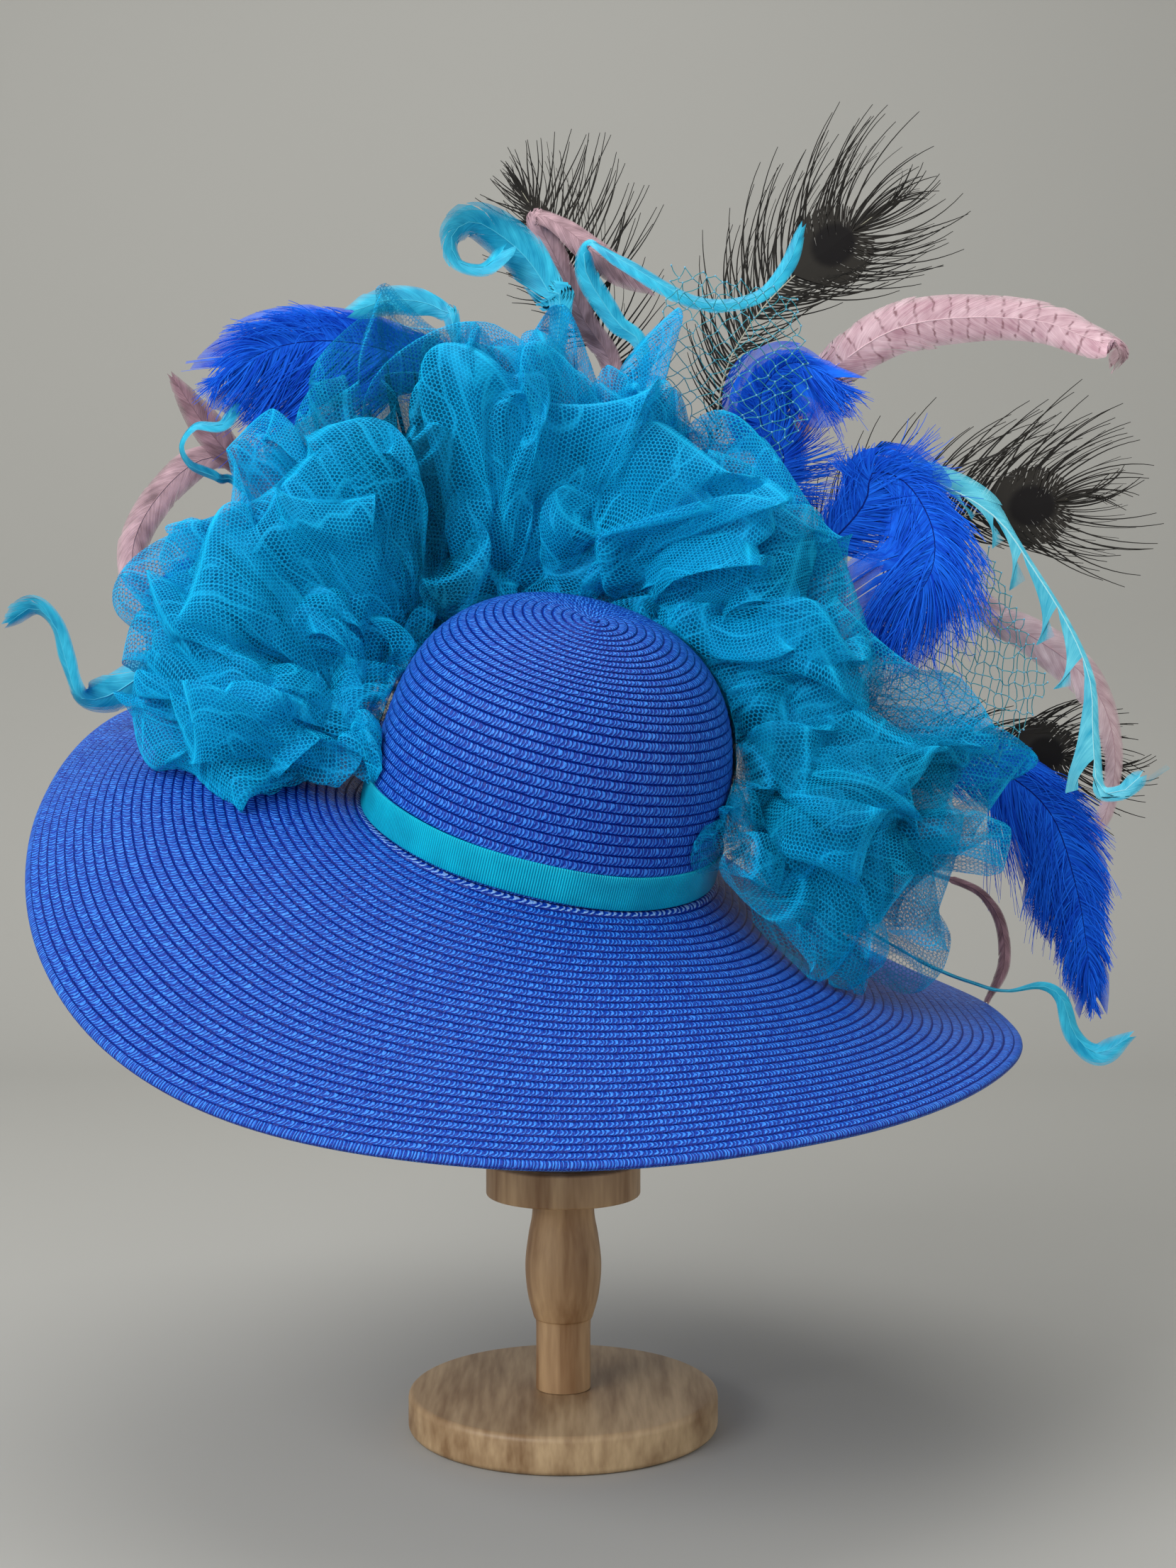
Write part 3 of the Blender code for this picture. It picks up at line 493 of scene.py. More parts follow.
@dataclass(frozen=True)
class PlainCanvas:
    """Unbleached cotton canvas drawn over the form: a matt, even plain weave of 1.5 mm."""

    name: str = "cotton_canvas"
    light: str = "#b3aaa0"
    dark: str = "#7d746a"
    thread: float = 1.5
    relief: float = 0.3
    roughness: float = 0.85

    def build(self) -> bpy.types.Material:
        """Builds the material.

        Returns:
            The material.
        """
        material, add, shader = start_material(self.name)
        waves = []
        for socket in lay_sockets(add)[:2]:
            phase = add("Math", {0: socket, 1: FULL_TURN / self.thread}, operation="MULTIPLY")
            waves.append(add("Math", {0: phase}, operation="SINE"))
        weave = add("Math", {0: waves[0], 1: waves[1]}, operation="MULTIPLY")
        # Painted shade: the weave's hollows take the dark colour and its raised crossings the
        # light one.
        level = add("MapRange", {"Value": weave, "From Min": -1.0, "From Max": 1.0})
        colour = add("Mix", {"Factor": level, "A": linear(self.dark), "B": linear(self.light)},
                     data_type="RGBA")
        bump = add("Bump", {"Height": weave, "Strength": 0.5, "Distance": self.relief * MM})
        fill(shader, {"Base Color": colour, "Normal": bump, "Roughness": self.roughness})
        return material


@dataclass(frozen=True)
class MattPaint:
    """Matt emulsion paint: an even, pale, unreflecting ground."""

    name: str
    colour: str
    roughness: float = 0.9

    def build(self) -> bpy.types.Material:
        """Builds the material.

        Returns:
            The material.
        """
        material, _, shader = start_material(self.name)
        fill(shader, {"Base Color": linear(self.colour), "Roughness": self.roughness})
        return material


@dataclass
class PieceMesh:
    """Grids of points gathered into one mesh, each corner with its lay."""

    points: list = field(default_factory=list)
    lays: list = field(default_factory=list)
    faces: list = field(default_factory=list)
    count: int = 0

    def add_grids(
        self,
        points: np.ndarray,
        along: Values = 0.0,
        across: Values = 0.0,
        tone: Values = 0.0,
        corners: np.ndarray | None = None,
    ) -> None:
        """Adds one grid of quads, or many at once.

        Args:
            points: places, shaped (..., rows, columns, 3).
            along: distance along the plait, cloth or feather, for each point.
            across: distance or share across it.
            tone: which row, barb or part it is.
            corners: the lay of each face's corners, where points alone can't give it.
        """
        rows, columns = points.shape[-3:-1]
        index = np.arange(points.size // 3).reshape(-1, rows, columns)
        quads = [index[:, :-1, :-1], index[:, :-1, 1:], index[:, 1:, 1:], index[:, 1:, :-1]]
        quads = np.stack(quads, axis=-1).reshape(-1, 4)
        if corners is None:
            lay = np.stack(np.broadcast_arrays(along, across, tone), axis=-1)
            corners = np.broadcast_to(lay, points.shape).reshape(-1, 3)[quads]
        self.faces.append(quads + self.count)
        self.points.append(points.reshape(-1, 3))
        self.lays.append(corners.reshape(-1, 3))
        self.count += points.size // 3

    def build(
        self, name: str, material: bpy.types.Material, slot: str, nodes: tuple[str, ...]
    ) -> bpy.types.Object:
        """Makes the piece, hangs it on the body and hides the solids that it stands for.

        Args:
            name: the piece's name.
            material: its finish.
            slot: the record's material slot; not used.
            nodes: the solids that it stands for.

        Returns:
            The new object.
        """
        mesh = bpy.data.meshes.new(name)
        points = np.concatenate(self.points) * MM
        mesh.from_pydata(points.tolist(), [], np.concatenate(self.faces).tolist())
        lay = mesh.attributes.new("lay", "FLOAT_VECTOR", "CORNER")
        lay.data.foreach_set("vector", np.concatenate(self.lays).astype(np.float32).ravel())
        mesh.update()
        mesh.shade_smooth()
        mesh.materials.append(material)
        piece = bpy.data.objects.new(name, mesh)
        bpy.context.scene.collection.objects.link(piece)
        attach(piece, BODY)
        if nodes:
            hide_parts(*nodes)
        LOG.info("%s: %d faces", name, len(mesh.polygons))
        return piece


def catmull_rom(four: Iterable[np.ndarray], share: np.ndarray) -> np.ndarray:
    """A smooth curve through four rows of values, read between the second and the third.

    Args:
        four: the rows before, at the start, at the end and after.
        share: how far from the start to the end to read it.

    Returns:
        The values there.
    """
    before, start, end, after = four
    line = 2 * start + (end - before) * share
    bend = (2 * before - 5 * start + 4 * end - after) * share**2
    twist = (3 * start - before - 3 * end + after) * share**3
    return (line + bend + twist) / 2


def curve_through(rows: np.ndarray, places: np.ndarray) -> np.ndarray:
    """Points of a smooth curve through table rows.

    Args:
        rows: the table, a row for each point that the curve passes.
        places: where to read the curve, from 0 to 1.

    Returns:
        A row of values for each place.
    """
    rows = np.asarray(rows, float)
    padded = np.vstack([2 * rows[0] - rows[1], rows, 2 * rows[-1] - rows[-2]])
    places = np.clip(places, 0, 1) * (len(rows) - 1)
    index = np.minimum(places.astype(int), len(rows) - 2)
    return catmull_rom((padded[index + step] for step in range(4)), (places - index)[..., None])


def travelled(points: np.ndarray) -> np.ndarray:
    """Distances along lines of points, shaped (points, ..., axes), from their first points."""
    steps = np.linalg.norm(np.diff(points, axis=0), axis=-1)
    return np.concatenate([np.zeros((1, *steps.shape[1:])), np.cumsum(steps, axis=0)])


def unit(vectors: np.ndarray) -> np.ndarray:
    """The vectors at length 1."""
    return vectors / np.maximum(np.linalg.norm(vectors, axis=-1, keepdims=True), 1e-9)


@dataclass(frozen=True)
class Crumple:
    """Sharp-crested waves that cross at all angles: their lengths, how many, and how high."""

    shortest: float
    longest: float
    count: int
    height: float

    def relief(self, x: np.ndarray, y: np.ndarray, seed: int) -> np.ndarray:
        """Adds up the waves over a cloth.

        Args:
            x: place along the cloth in millimetres.
            y: place across it in millimetres.
            seed: picks the waves' directions and phases.

        Returns:
            Shares of the height from about -1 to 1, crests sharper than hollows.
        """
        random = np.random.default_rng(seed)
        total = np.zeros(np.broadcast(x, y).shape)
        for _ in range(self.count):
            turn = random.uniform(0, math.pi)
            length = random.uniform(self.shortest, self.longest)
            bend = random.uniform(0.4, 1.2) * np.sin(
                FULL_TURN * (x * random.uniform(-1, 1) + y) / (2.5 * length) + random.uniform(0, 6)
            )
            phase = FULL_TURN * (x * math.cos(turn) + y * math.sin(turn)) / length + bend
            total += 1 - 2 * np.abs(np.sin((phase + random.uniform(0, 6)) / 2)) ** 0.8
        return total / math.sqrt(self.count)


@dataclass(frozen=True)
class Ring:
    """Height up the crown, and its width there as a share of the base oval."""

    height: float
    share: float


@dataclass(frozen=True)
class Slope:
    """How the brim leaves the crown and meets its edge, in one direction from the hat's right."""

    direction: float
    base: float
    edge: float


@dataclass
class HatShape:
    """The hat's own frame, its crown's oval and profile, and its brim's slopes.

    Tip, roll and turn are how it sits on the stand, in degrees. The braid's middle is off the
    crown's by the swirl's shift, which fades out within its reach. Probe is half the step that
    slopes are measured over, and sky is where rays down to the brim start.
    """

    centre: tuple[float, float, float] = (-12.0, 8.0, 286.0)
    tip: float = 15.3
    roll: float = 13.7
    turn: float = 3.4
    side: float = 87.0
    front: float = 94.0
    brim_width: float = 168.0
    brim_steps: int = 56
    swirl_shift: float = 24.0
    swirl_reach: float = 95.0
    probe: float = 1.5
    sky: float = 400.0
    profile: tuple[Ring, ...] = (
        Ring(0.3, 1.0), Ring(17.0, 1.0), Ring(38.0, 0.98), Ring(58.0, 0.945),
        Ring(75.0, 0.885), Ring(89.0, 0.795), Ring(101.0, 0.66), Ring(110.0, 0.48),
        Ring(115.0, 0.27), Ring(117.0, 0.0),
    )
    slopes: tuple[Slope, ...] = (
        Slope(0, -35, 8), Slope(30, -26, -20), Slope(60, -13, -40), Slope(90, -11, -26),
        Slope(120, -8, -7), Slope(150, 7, -19), Slope(180, 15, -46), Slope(210, -2, -49),
        Slope(240, -22, -30), Slope(270, -23, -12), Slope(300, -18, 2), Slope(330, -26, 14),
    )

    def __post_init__(self) -> None:
        """Works out the axes and the crown's profile by its length."""
        tip, roll, turn = (math.radians(a) for a in (self.tip, self.roll, self.turn))
        up = np.array([math.cos(tip) * math.sin(roll), -math.sin(tip),
                       math.cos(tip) * math.cos(roll)])
        level = np.array([math.cos(roll), 0.0, -math.sin(roll)])
        back = np.cross(up, level)
        right = math.cos(turn) * level + math.sin(turn) * back
        self.axes = np.array([right, np.cross(up, right), up])
        rows = curve_through([(r.height, r.share) for r in self.profile], np.linspace(0, 1, 400))
        self.heights = rows[:, 0]
        self.shares = np.maximum(rows[:, 1], 0)
        self.mean = (self.side + self.front) / 2
        steps = np.hypot(np.diff(self.heights), np.diff(self.shares) * self.mean)
        self.lengths = np.concatenate([[0.0], np.cumsum(steps)])
        brim = BVHTree.FromObject(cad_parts["brim"], bpy.context.evaluated_depsgraph_get())
        self.brim_tree = brim

    def to_world(self, points: np.ndarray) -> np.ndarray:
        """Points of the hat's own frame in the world."""
        return np.asarray(points, float) @ self.axes + np.array(self.centre)

    def to_hat(self, points: np.ndarray) -> np.ndarray:
        """World points in the hat's own frame."""
        return (np.asarray(points, float) - np.array(self.centre)) @ self.axes.T

    def crown_share(self, height: np.ndarray) -> np.ndarray:
        """The crown's width at a height, as a share of its base oval."""
        return np.interp(height, [r.height for r in self.profile], [r.share for r in self.profile])

    def up_side(self, length: np.ndarray, values: np.ndarray) -> np.ndarray:
        """Heights or shares of the crown's profile, read by distance up from its foot."""
        return np.interp(length, self.lengths, values)

    def crown_point(self, turn: np.ndarray, length: np.ndarray, lift: np.ndarray) -> np.ndarray:
        """World points on the crown.

        Args:
            turn: direction from the hat's right, in radians.
            length: distance up the crown's side from its foot.
            lift: distance out from the straw.

        Returns:
            The points, in the world.
        """
        share = self.up_side(length, self.shares)
        near_tip = np.clip((length - self.lengths[-1] + self.swirl_reach) / self.swirl_reach, 0, 1)
        east = share * np.cos(turn)
        north = share * np.sin(turn)
        north = north - self.swirl_shift / self.front * near_tip**2 * (3 - 2 * near_tip)
        share = np.where(near_tip > 0, np.hypot(east, north), share)
        turn = np.where(near_tip > 0, np.arctan2(north, east), turn)
        moved = np.interp(share, self.shares[::-1], self.lengths[::-1])
        length = np.where(near_tip > 0, moved, length)
        height = self.up_side(length, self.heights)
        near = np.clip(length + self.probe, 0, self.lengths[-1])
        far = near - 2 * self.probe
        rise = self.up_side(near, self.heights) - self.up_side(far, self.heights)
        narrow = self.up_side(far, self.shares) - self.up_side(near, self.shares)
        slope = np.arctan2(narrow * self.mean, rise)
        out = lift * np.cos(slope)
        x = (self.side * share + out) * np.cos(turn)
        y = (self.front * share + out) * np.sin(turn)
        return self.to_world(np.stack([x, y, height + lift * np.sin(slope)], axis=-1))

    def brim_slopes(self, turn: np.ndarray) -> np.ndarray:
        """The brim's slope at the crown and at the edge.

        Args:
            turn: directions from the hat's right, in radians.

        Returns:
            Both slopes for each direction, in degrees.
        """
        count = len(self.slopes)
        rows = np.array([(s.base, s.edge) for s in self.slopes], float)
        place = (np.degrees(turn) % 360) / (360 / count)
        index = place.astype(int)
        four = (rows[(index + step) % count] for step in (-1, 0, 1, 2))
        return catmull_rom(four, (place - index)[..., None])

    def brim_point(self, turn: np.ndarray, distance: np.ndarray, lift: np.ndarray) -> np.ndarray:
        """World points on the brim.

        Args:
            turn: directions in radians, shaped (n,).
            distance: distances from the crown along the straw, shaped (m,).
            lift: distances up from the straw, shaped (m,).

        Returns:
            Points shaped (n, m, 3).
        """
        base, edge = self.brim_slopes(turn).T
        stride = self.brim_width / self.brim_steps
        share = (np.arange(self.brim_steps) + 0.5) / self.brim_steps
        slope = np.radians(base[:, None] + (edge - base)[:, None] * share)
        start = np.zeros((len(turn), 1))
        outward = np.hstack([start, np.cumsum(np.cos(slope) * stride, axis=1)])
        height = np.hstack([start, np.cumsum(np.sin(slope) * stride, axis=1)])
        grid = np.linspace(0, self.brim_width, self.brim_steps + 1)
        out = np.array([np.interp(distance, grid, row) for row in outward])
        out = out + np.minimum(distance, 0.0)
        up = np.array([np.interp(distance, grid, row) for row in height])
        here = np.radians(base[:, None] + (edge - base)[:, None] * np.clip(distance, 0, None)
                          / self.brim_width)
        out = out - lift * np.sin(here)
        up = up + lift * np.cos(here)
        normal = unit(np.stack([np.cos(turn) / self.side, np.sin(turn) / self.front], axis=-1))
        x = self.side * np.cos(turn)[:, None] + out * normal[:, :1]
        y = self.front * np.sin(turn)[:, None] + out * normal[:, 1:]
        return self.to_world(np.stack([x, y, up], axis=-1))

    def lift_clear(self, points: np.ndarray, clear: float) -> np.ndarray:
        """Moves points out of the crown and above the brim.

        Args:
            points: world points shaped (..., 3).
            clear: the least distance that they keep.

        Returns:
            The moved points.
        """
        spot = self.to_hat(points).reshape(-1, 3)
        low = spot[:, 2] < self.profile[-1].height + clear
        wide = self.crown_share(np.maximum(spot[:, 2] - clear / 2, 0)) + clear / self.side
        share = np.hypot(spot[:, 0] / self.side, spot[:, 1] / self.front)
        push = np.where(low & (share < wide), wide / np.maximum(share, 0.05), 1.0)
        spot[:, :2] *= push[:, None]
        above = self.to_world(np.column_stack([spot[:, :2], np.full(len(spot), self.sky)])) * MM
        down = Vector(-self.axes[2])
        for index, place in enumerate(above):
            hit = self.brim_tree.ray_cast(Vector(place), down)[0]
            if hit is not None:
                floor = self.to_hat(np.array(hit) / MM)[2] + clear
                spot[index, 2] = max(spot[index, 2], floor)
        return self.to_world(spot).reshape(points.shape)


@dataclass
class StrawHat:
    """The crown and brim, sewn from one long plait, and the rolled row at the brim's edge.

    A plait's section is listed as its share across and its lift, over the top from the inner
    edge and back underneath. The brim's first row is coarse, and lead is how far round the tip
    the spiral starts.
    """

    shape: HatShape
    pitch: float = 4.8
    edge_width: float = 4.5
    edge_thickness: float = 3.6
    edge_drop: float = 0.3
    edge_fullness: float = 0.8
    edge_stretch: float = 1.4
    edge_tuck: float = 0.6
    crown_steps: int = 132
    brim_steps: int = 220
    edge_sides: int = 12
    coarse_row: float = 0.55
    row_shift: float = 700.0
    lead: float = 0.35
    top: tuple = ((-0.10, -0.3), (0.04, 0.30), (0.30, 0.62), (0.62, 0.80), (0.90, 0.75),
                  (1.03, 0.35))
    under: tuple = ((1.0, -0.5), (0.70, -1.25), (0.35, -1.3), (0.02, -1.1))

    def section(self) -> np.ndarray:
        """A plait's section: its share across, and its lift, round from its inner edge."""
        return np.array([*self.top, *self.under, self.top[0]])

    def build(self, straw: bpy.types.Material) -> list[bpy.types.Object]:
        """Builds the straw.

        Args:
            straw: the straw's finish.

        Returns:
            The crown, the brim and its edge.
        """
        meshes = {"crown": self.crown(), "brim": self.brim(), "brim_edge": self.edge()}
        return [mesh.build("straw_" + node, straw, "straw", (node,))
                for node, mesh in meshes.items()]

    def crown(self) -> PieceMesh:
        """Lays one spiral of plait from the crown's tip to its foot.

        Returns:
            The plait.
        """
        mesh = PieceMesh()
        section = self.section()
        full = self.shape.lengths[-1]
        rows = math.ceil(full / self.pitch + self.lead)
        order = np.abs(np.arange(len(section)) - len(self.top) + 1.0)
        least = 0.2 + 0.12 * (len(self.top) - np.minimum(order, len(self.top) - 1))
        end = 0.0
        for row in range(-1, rows):
            turns = np.linspace(0.3 if row < 0 else 0, 1, self.crown_steps + 1)[:, None]
            inward = (row - self.lead + turns + section[:, 0]) * self.pitch
            length = np.clip(full - np.maximum(inward, least), 0.3, full)
            points = self.shape.crown_point(FULL_TURN * turns, length, section[:, 1])
            along = end + travelled(points[:, CREST])
            end = along[-1]
            mesh.add_grids(points, along[:, None], section[:, 0], row)
        return mesh

    def brim(self) -> PieceMesh:
        """Lays a ring of plait for each row of the brim.

        Returns:
            The rings.
        """
        mesh = PieceMesh()
        section = self.section()
        width = self.shape.brim_width - self.edge_width + self.edge_tuck
        rows = round(width / self.pitch)
        turn = np.linspace(0, FULL_TURN, self.brim_steps + 1)
        for row in range(-1, rows):
            distance = (row + section[:, 0]) * (width / rows)
            points = self.shape.brim_point(turn, distance, section[:, 1])
            along = travelled(points[:, CREST])[:, None] + self.row_shift * row
            stretch = self.coarse_row if row == 0 else 1.0
            mesh.add_grids(points, along * stretch, section[:, 0], row + FIRST_ROW)
        return mesh

    def edge(self) -> PieceMesh:
        """Folds the last row round the brim's edge into a roll.

        Returns:
            The roll.
        """
        mesh = PieceMesh()
        turn = np.linspace(0, FULL_TURN, self.brim_steps + 1)
        side = np.linspace(0, FULL_TURN, self.edge_sides + 1)
        wide = np.sign(np.cos(side)) * np.abs(np.cos(side)) ** self.edge_fullness
        distance = self.shape.brim_width - self.edge_width / 2 + self.edge_width / 2 * wide
        lift = -self.edge_thickness * self.edge_drop + self.edge_thickness / 2 * np.sin(side)
        points = self.shape.brim_point(turn, distance, lift)
        along = self.edge_stretch * travelled(points[:, CREST])[:, None]
        across = (np.arange(self.edge_sides + 1) / self.edge_sides * 2) % 1.0
        mesh.add_grids(points, along, across, EDGE_ROW)
        return mesh


@dataclass
class RibbonBand:
    """The grosgrain band drawn round the crown's foot; its section has turned-in edges."""

    shape: HatShape
    foot: float = 1.4
    height: float = 16.0
    stand_off: float = 1.5
    thickness: float = 0.5
    steps: int = 200
    across: tuple[float, ...] = (0.0, 0.0, 0.03, 0.25, 0.5, 0.75, 0.97, 1.0, 1.0)
    lift: tuple[float, ...] = (-1.6, 0.6, 1.0, 1.1, 1.15, 1.1, 1.0, 0.6, -1.6)

    def build(self, ribbon: bpy.types.Material) -> bpy.types.Object:
        """Builds the band.

        Args:
            ribbon: the ribbon's finish.

        Returns:
            The band.
        """
        mesh = PieceMesh()
        turn = np.linspace(0, FULL_TURN, self.steps + 1)[:, None]
        across = np.array(self.across) * self.height
        lift = self.stand_off + self.thickness * np.array(self.lift)
        sag = 0.35 * np.sin(3 * turn + 1) + 0.2 * np.sin(7 * turn)
        x = (self.shape.side + lift) * np.cos(turn)
        y = (self.shape.front + lift) * np.sin(turn)
        points = self.shape.to_world(np.stack([x, y, self.foot + across + sag], axis=-1))
        along = travelled(points[:, CREST])
        mesh.add_grids(points, along[:, None], across)
        band = mesh.build("ribbon_band_grosgrain", ribbon, "ribbon", ("ribbon_band",))
        return band


@dataclass(frozen=True)
class SwagRow:
    """Where the tulle is sewn to the crown, and where its outer and front ruffles end."""

    direction: float
    height: float
    outer: tuple[float, float, float]
    front: tuple[float, float, float]


@dataclass(frozen=True)
class Puff:
    """One gathered length of tulle, sewn at both cut edges so that it stands as a loop.

    Depth is 0 at the front edge, 1 at the outer edge, 2 behind and -1 over the crown. The
    sizes are the loop's reach as a share, half its thickness, how many folds it has, how far
    they stand out and overhang, and how far they are swept away from the middle.
    """

    depth: float
    reach: float
    thick: float
    folds: float
    swell: float
    overhang: float
    sweep: float = 0.0


@dataclass
class TulleSwag:
    """The fan of gathered tulle round the back of the crown.

    Places run from 0 at the left to 1 at the right. Wander, weave and lean are sums of slow
    waves, each a height, a length in folds and the number of its phase. Crumple and wrinkle
    stand out from the cloth, and drift shifts it along. The valley is where one thin layer
    shows feathers through it, wider in the outer loops, and low is where the right end thins;
    in both the net is also darkened with painted shade.
    """

    shape: HatShape
    roll_radius: float = 12.0
    along_steps: int = 400
    across_steps: int = 36
    clear: float = 2.5
    span: float = 820.0
    patch: float = 36.0
    patch_shift: float = 37.7
    rows: tuple[SwagRow, ...] = (
        SwagRow(188, 17, (-193, -12, 318), (-162, -52, 324)),
        SwagRow(182, 20, (-204, -4, 362), (-182, -46, 352)),
        SwagRow(176, 24, (-208, 4, 400), (-181, -38, 390)),
        SwagRow(168, 30, (-192, 13, 449), (-159, -30, 424)),
        SwagRow(158, 38, (-161, 24, 484), (-127, -20, 456)),
        SwagRow(147, 48, (-128, 34, 518), (-94, -12, 485)),
        SwagRow(135, 60, (-92, 42, 552), (-53, -6, 499)),
        SwagRow(122, 74, (-53, 47, 558), (-19, -2, 507)),
        SwagRow(107, 85, (-6, 48, 565), (5, -2, 500)),
        SwagRow(92, 91, (21, 48, 517), (29, -4, 486)),
        SwagRow(77, 91, (51, 48, 524), (57, -8, 471)),
        SwagRow(63, 86, (78, 46, 487), (91, -14, 443)),
        SwagRow(50, 77, (110, 42, 470), (114, -21, 409)),
        SwagRow(38, 65, (142, 34, 431), (133, -31, 371)),
        SwagRow(27, 52, (180, 24, 373), (149, -41, 330)),
        SwagRow(16, 38, (231, 14, 327), (149, -51, 287)),
        SwagRow(4, 25, (214, 4, 278), (133, -56, 252)),
        SwagRow(-10, 17, (186, -6, 218), (114, -56, 232)),
    )
    back_reach: float = 74.0
    back_turn: float = 0.55
    back_fall: float = 0.25
    inner_reach: float = 40.0
    inner_start: float = 0.58
    inner_growth: float = 0.8
    wander: tuple = ((1.1, 3.3, 0), (0.8, 5.1, 1))
    weave: tuple = ((0.16, 2.3, 10), (0.10, 3.7, 11))
    lean: tuple = ((15, 1.9, 12), (10, 3.1, 13))
    crumple: Crumple = Crumple(38, 90, 6, 3.8)
    wrinkle: Crumple = Crumple(12, 26, 6, 1.0)
    drift: Crumple = Crumple(40, 90, 4, 2.5)
    swept_right: float = 0.59
    swept_left: float = 0.36
    valley: float = 0.345
    valley_share: float = 0.72
    valley_width: float = 0.035
    outer_valley_width: float = 0.05
    outer_depth: float = 0.4
    low: float = 0.72
    low_share: float = 0.24
    hem_width: float = 0.022
    puffs: tuple[Puff, ...] = (
        Puff(1.75, 0.98, 14, 12, 9, 5),
        Puff(1.30, 0.95, 14, 14, 9, 5),
        Puff(1.0, 1.0, 13, 11, 10, 9),
        Puff(0.78, 0.98, 16, 13, 12, 9),
        Puff(0.50, 0.96, 18, 11, 13, 10, 16),
        Puff(0.22, 0.94, 18, 14, 13, 9, 44),
        Puff(0.04, 0.92, 17, 12, 12, 9, 62),
        Puff(0.10, 0.60, 18, 13, 12, 9, 56),
        Puff(-0.30, 0.80, 15, 12, 11, 8, 40),
        Puff(-0.70, 0.80, 13, 15, 8, 6, 20),
        Puff(-1.0, 0.80, 11, 17, 6, 5, 8),
    )

    def roll_centre(self, place: np.ndarray) -> np.ndarray:
        """The middle of the gathered roll.

        Args:
            place: places along the swag.

        Returns:
            World points.
        """
        table = curve_through([(r.direction, r.height) for r in self.rows], place)
        direction, height = table[..., 0], table[..., 1]
        share = self.shape.crown_share
        fall = (share(height - 3) - share(height + 3)) / 6
        turn = np.radians(direction)
        lift = fall * self.shape.mean
        normal = unit(np.stack([np.cos(turn), np.sin(turn), lift], axis=-1))
        wide = share(height)
        seat = np.stack([self.shape.side * wide * np.cos(turn),
                         self.shape.front * wide * np.sin(turn), height], axis=-1)
        return self.shape.to_world(seat + normal * (self.roll_radius + 1))

    def edge_at(self, place: np.ndarray, depth: np.ndarray) -> np.ndarray:
        """Where the tulle ends.

        Args:
            place: places along the swag.
            depth: from -1 over the crown, through 0 in front and 1 outside, to 2 behind.

        Returns:
            World points.
        """
        front = curve_through([r.front for r in self.rows], place)
        outer = curve_through([r.outer for r in self.rows], place)
        direction = curve_through([(r.direction,) for r in self.rows], place)[..., 0]
        turn = np.radians(90 + (direction - 90) * self.back_turn)[..., None]
        right, back, up = self.shape.axes
        aim = unit(np.cos(turn) * right + np.sin(turn) * back - self.back_fall * up)
        centre = self.roll_centre(place)
        behind = centre + aim * self.back_reach
        inward = unit(self.shape.to_world(np.array([0, 0, 60.0])) - centre)
        over = np.clip((np.asarray(place)[..., None] - self.inner_start) * 6, 0, 1)
        over = 1 + self.inner_growth * over
        inner = centre + unit(0.9 * inward - 0.9 * back + 0.1 * up) * self.inner_reach * over
        depth = np.asarray(depth)[..., None]
        edge = front + (outer - front) * np.clip(depth, 0, 1)
        edge = edge + (behind - outer) * np.clip(depth - 1, 0, 1)
        return edge + (inner - front) * np.clip(-depth, 0, 1)

    def net_places(self, points: np.ndarray, crease: np.ndarray) -> np.ndarray:
        """Measures the net over a gathered cloth, anew for each patch so that it never shears.

        Args:
            points: the cloth's points, rows along it and columns across.
            crease: how sharply it is folded at each point.

        Returns:
            Places along and across and the crease, for each face's corners.
        """
        rows = len(points) - 1
        along = travelled(points)
        across = travelled(points.swapaxes(0, 1)).T
        parts = max(round(along[-1].mean() / self.patch), 1)
        part = (np.arange(rows) * parts // rows)[:, None]
        middle = np.clip(((part + 0.5) * rows / parts).astype(int), 0, rows)[:, 0]
        corners = []
        for down, aside in ((0, 0), (0, 1), (1, 1), (1, 0)):
            pick = np.arange(rows) + down
            keep = slice(aside, points.shape[1] - 1 + aside)
            place = along[pick, keep] - along[middle, keep] + self.patch_shift * part
            corners.append(np.stack([place, across[pick, keep], crease[pick, keep]], axis=-1))
        return np.stack(corners, axis=2)

    def thinning_and_shade(self, place: np.ndarray, out: np.ndarray, depth: float) -> np.ndarray:
        """How far the net is thinned to a single layer and darkened with painted shade, in the
        valley and at the right end.

        Args:
            place: places along the swag.
            out: shares of the way from the roll to the edge.
            depth: the loop's depth; the outer loops have the wider valley.

        Returns:
            Shares from 0 to 1.
        """
        wide = self.outer_valley_width if depth > self.outer_depth else self.valley_width
        valley = np.exp(-(((place - self.valley) / wide) ** 2)) * np.clip(3 * out - 0.6, 0, 1)
        low = self.low_share * np.clip((place - self.low) * 7, 0, 1)
        return np.maximum(self.valley_share * valley, low * np.clip(2 * out - 0.5, 0, 1))

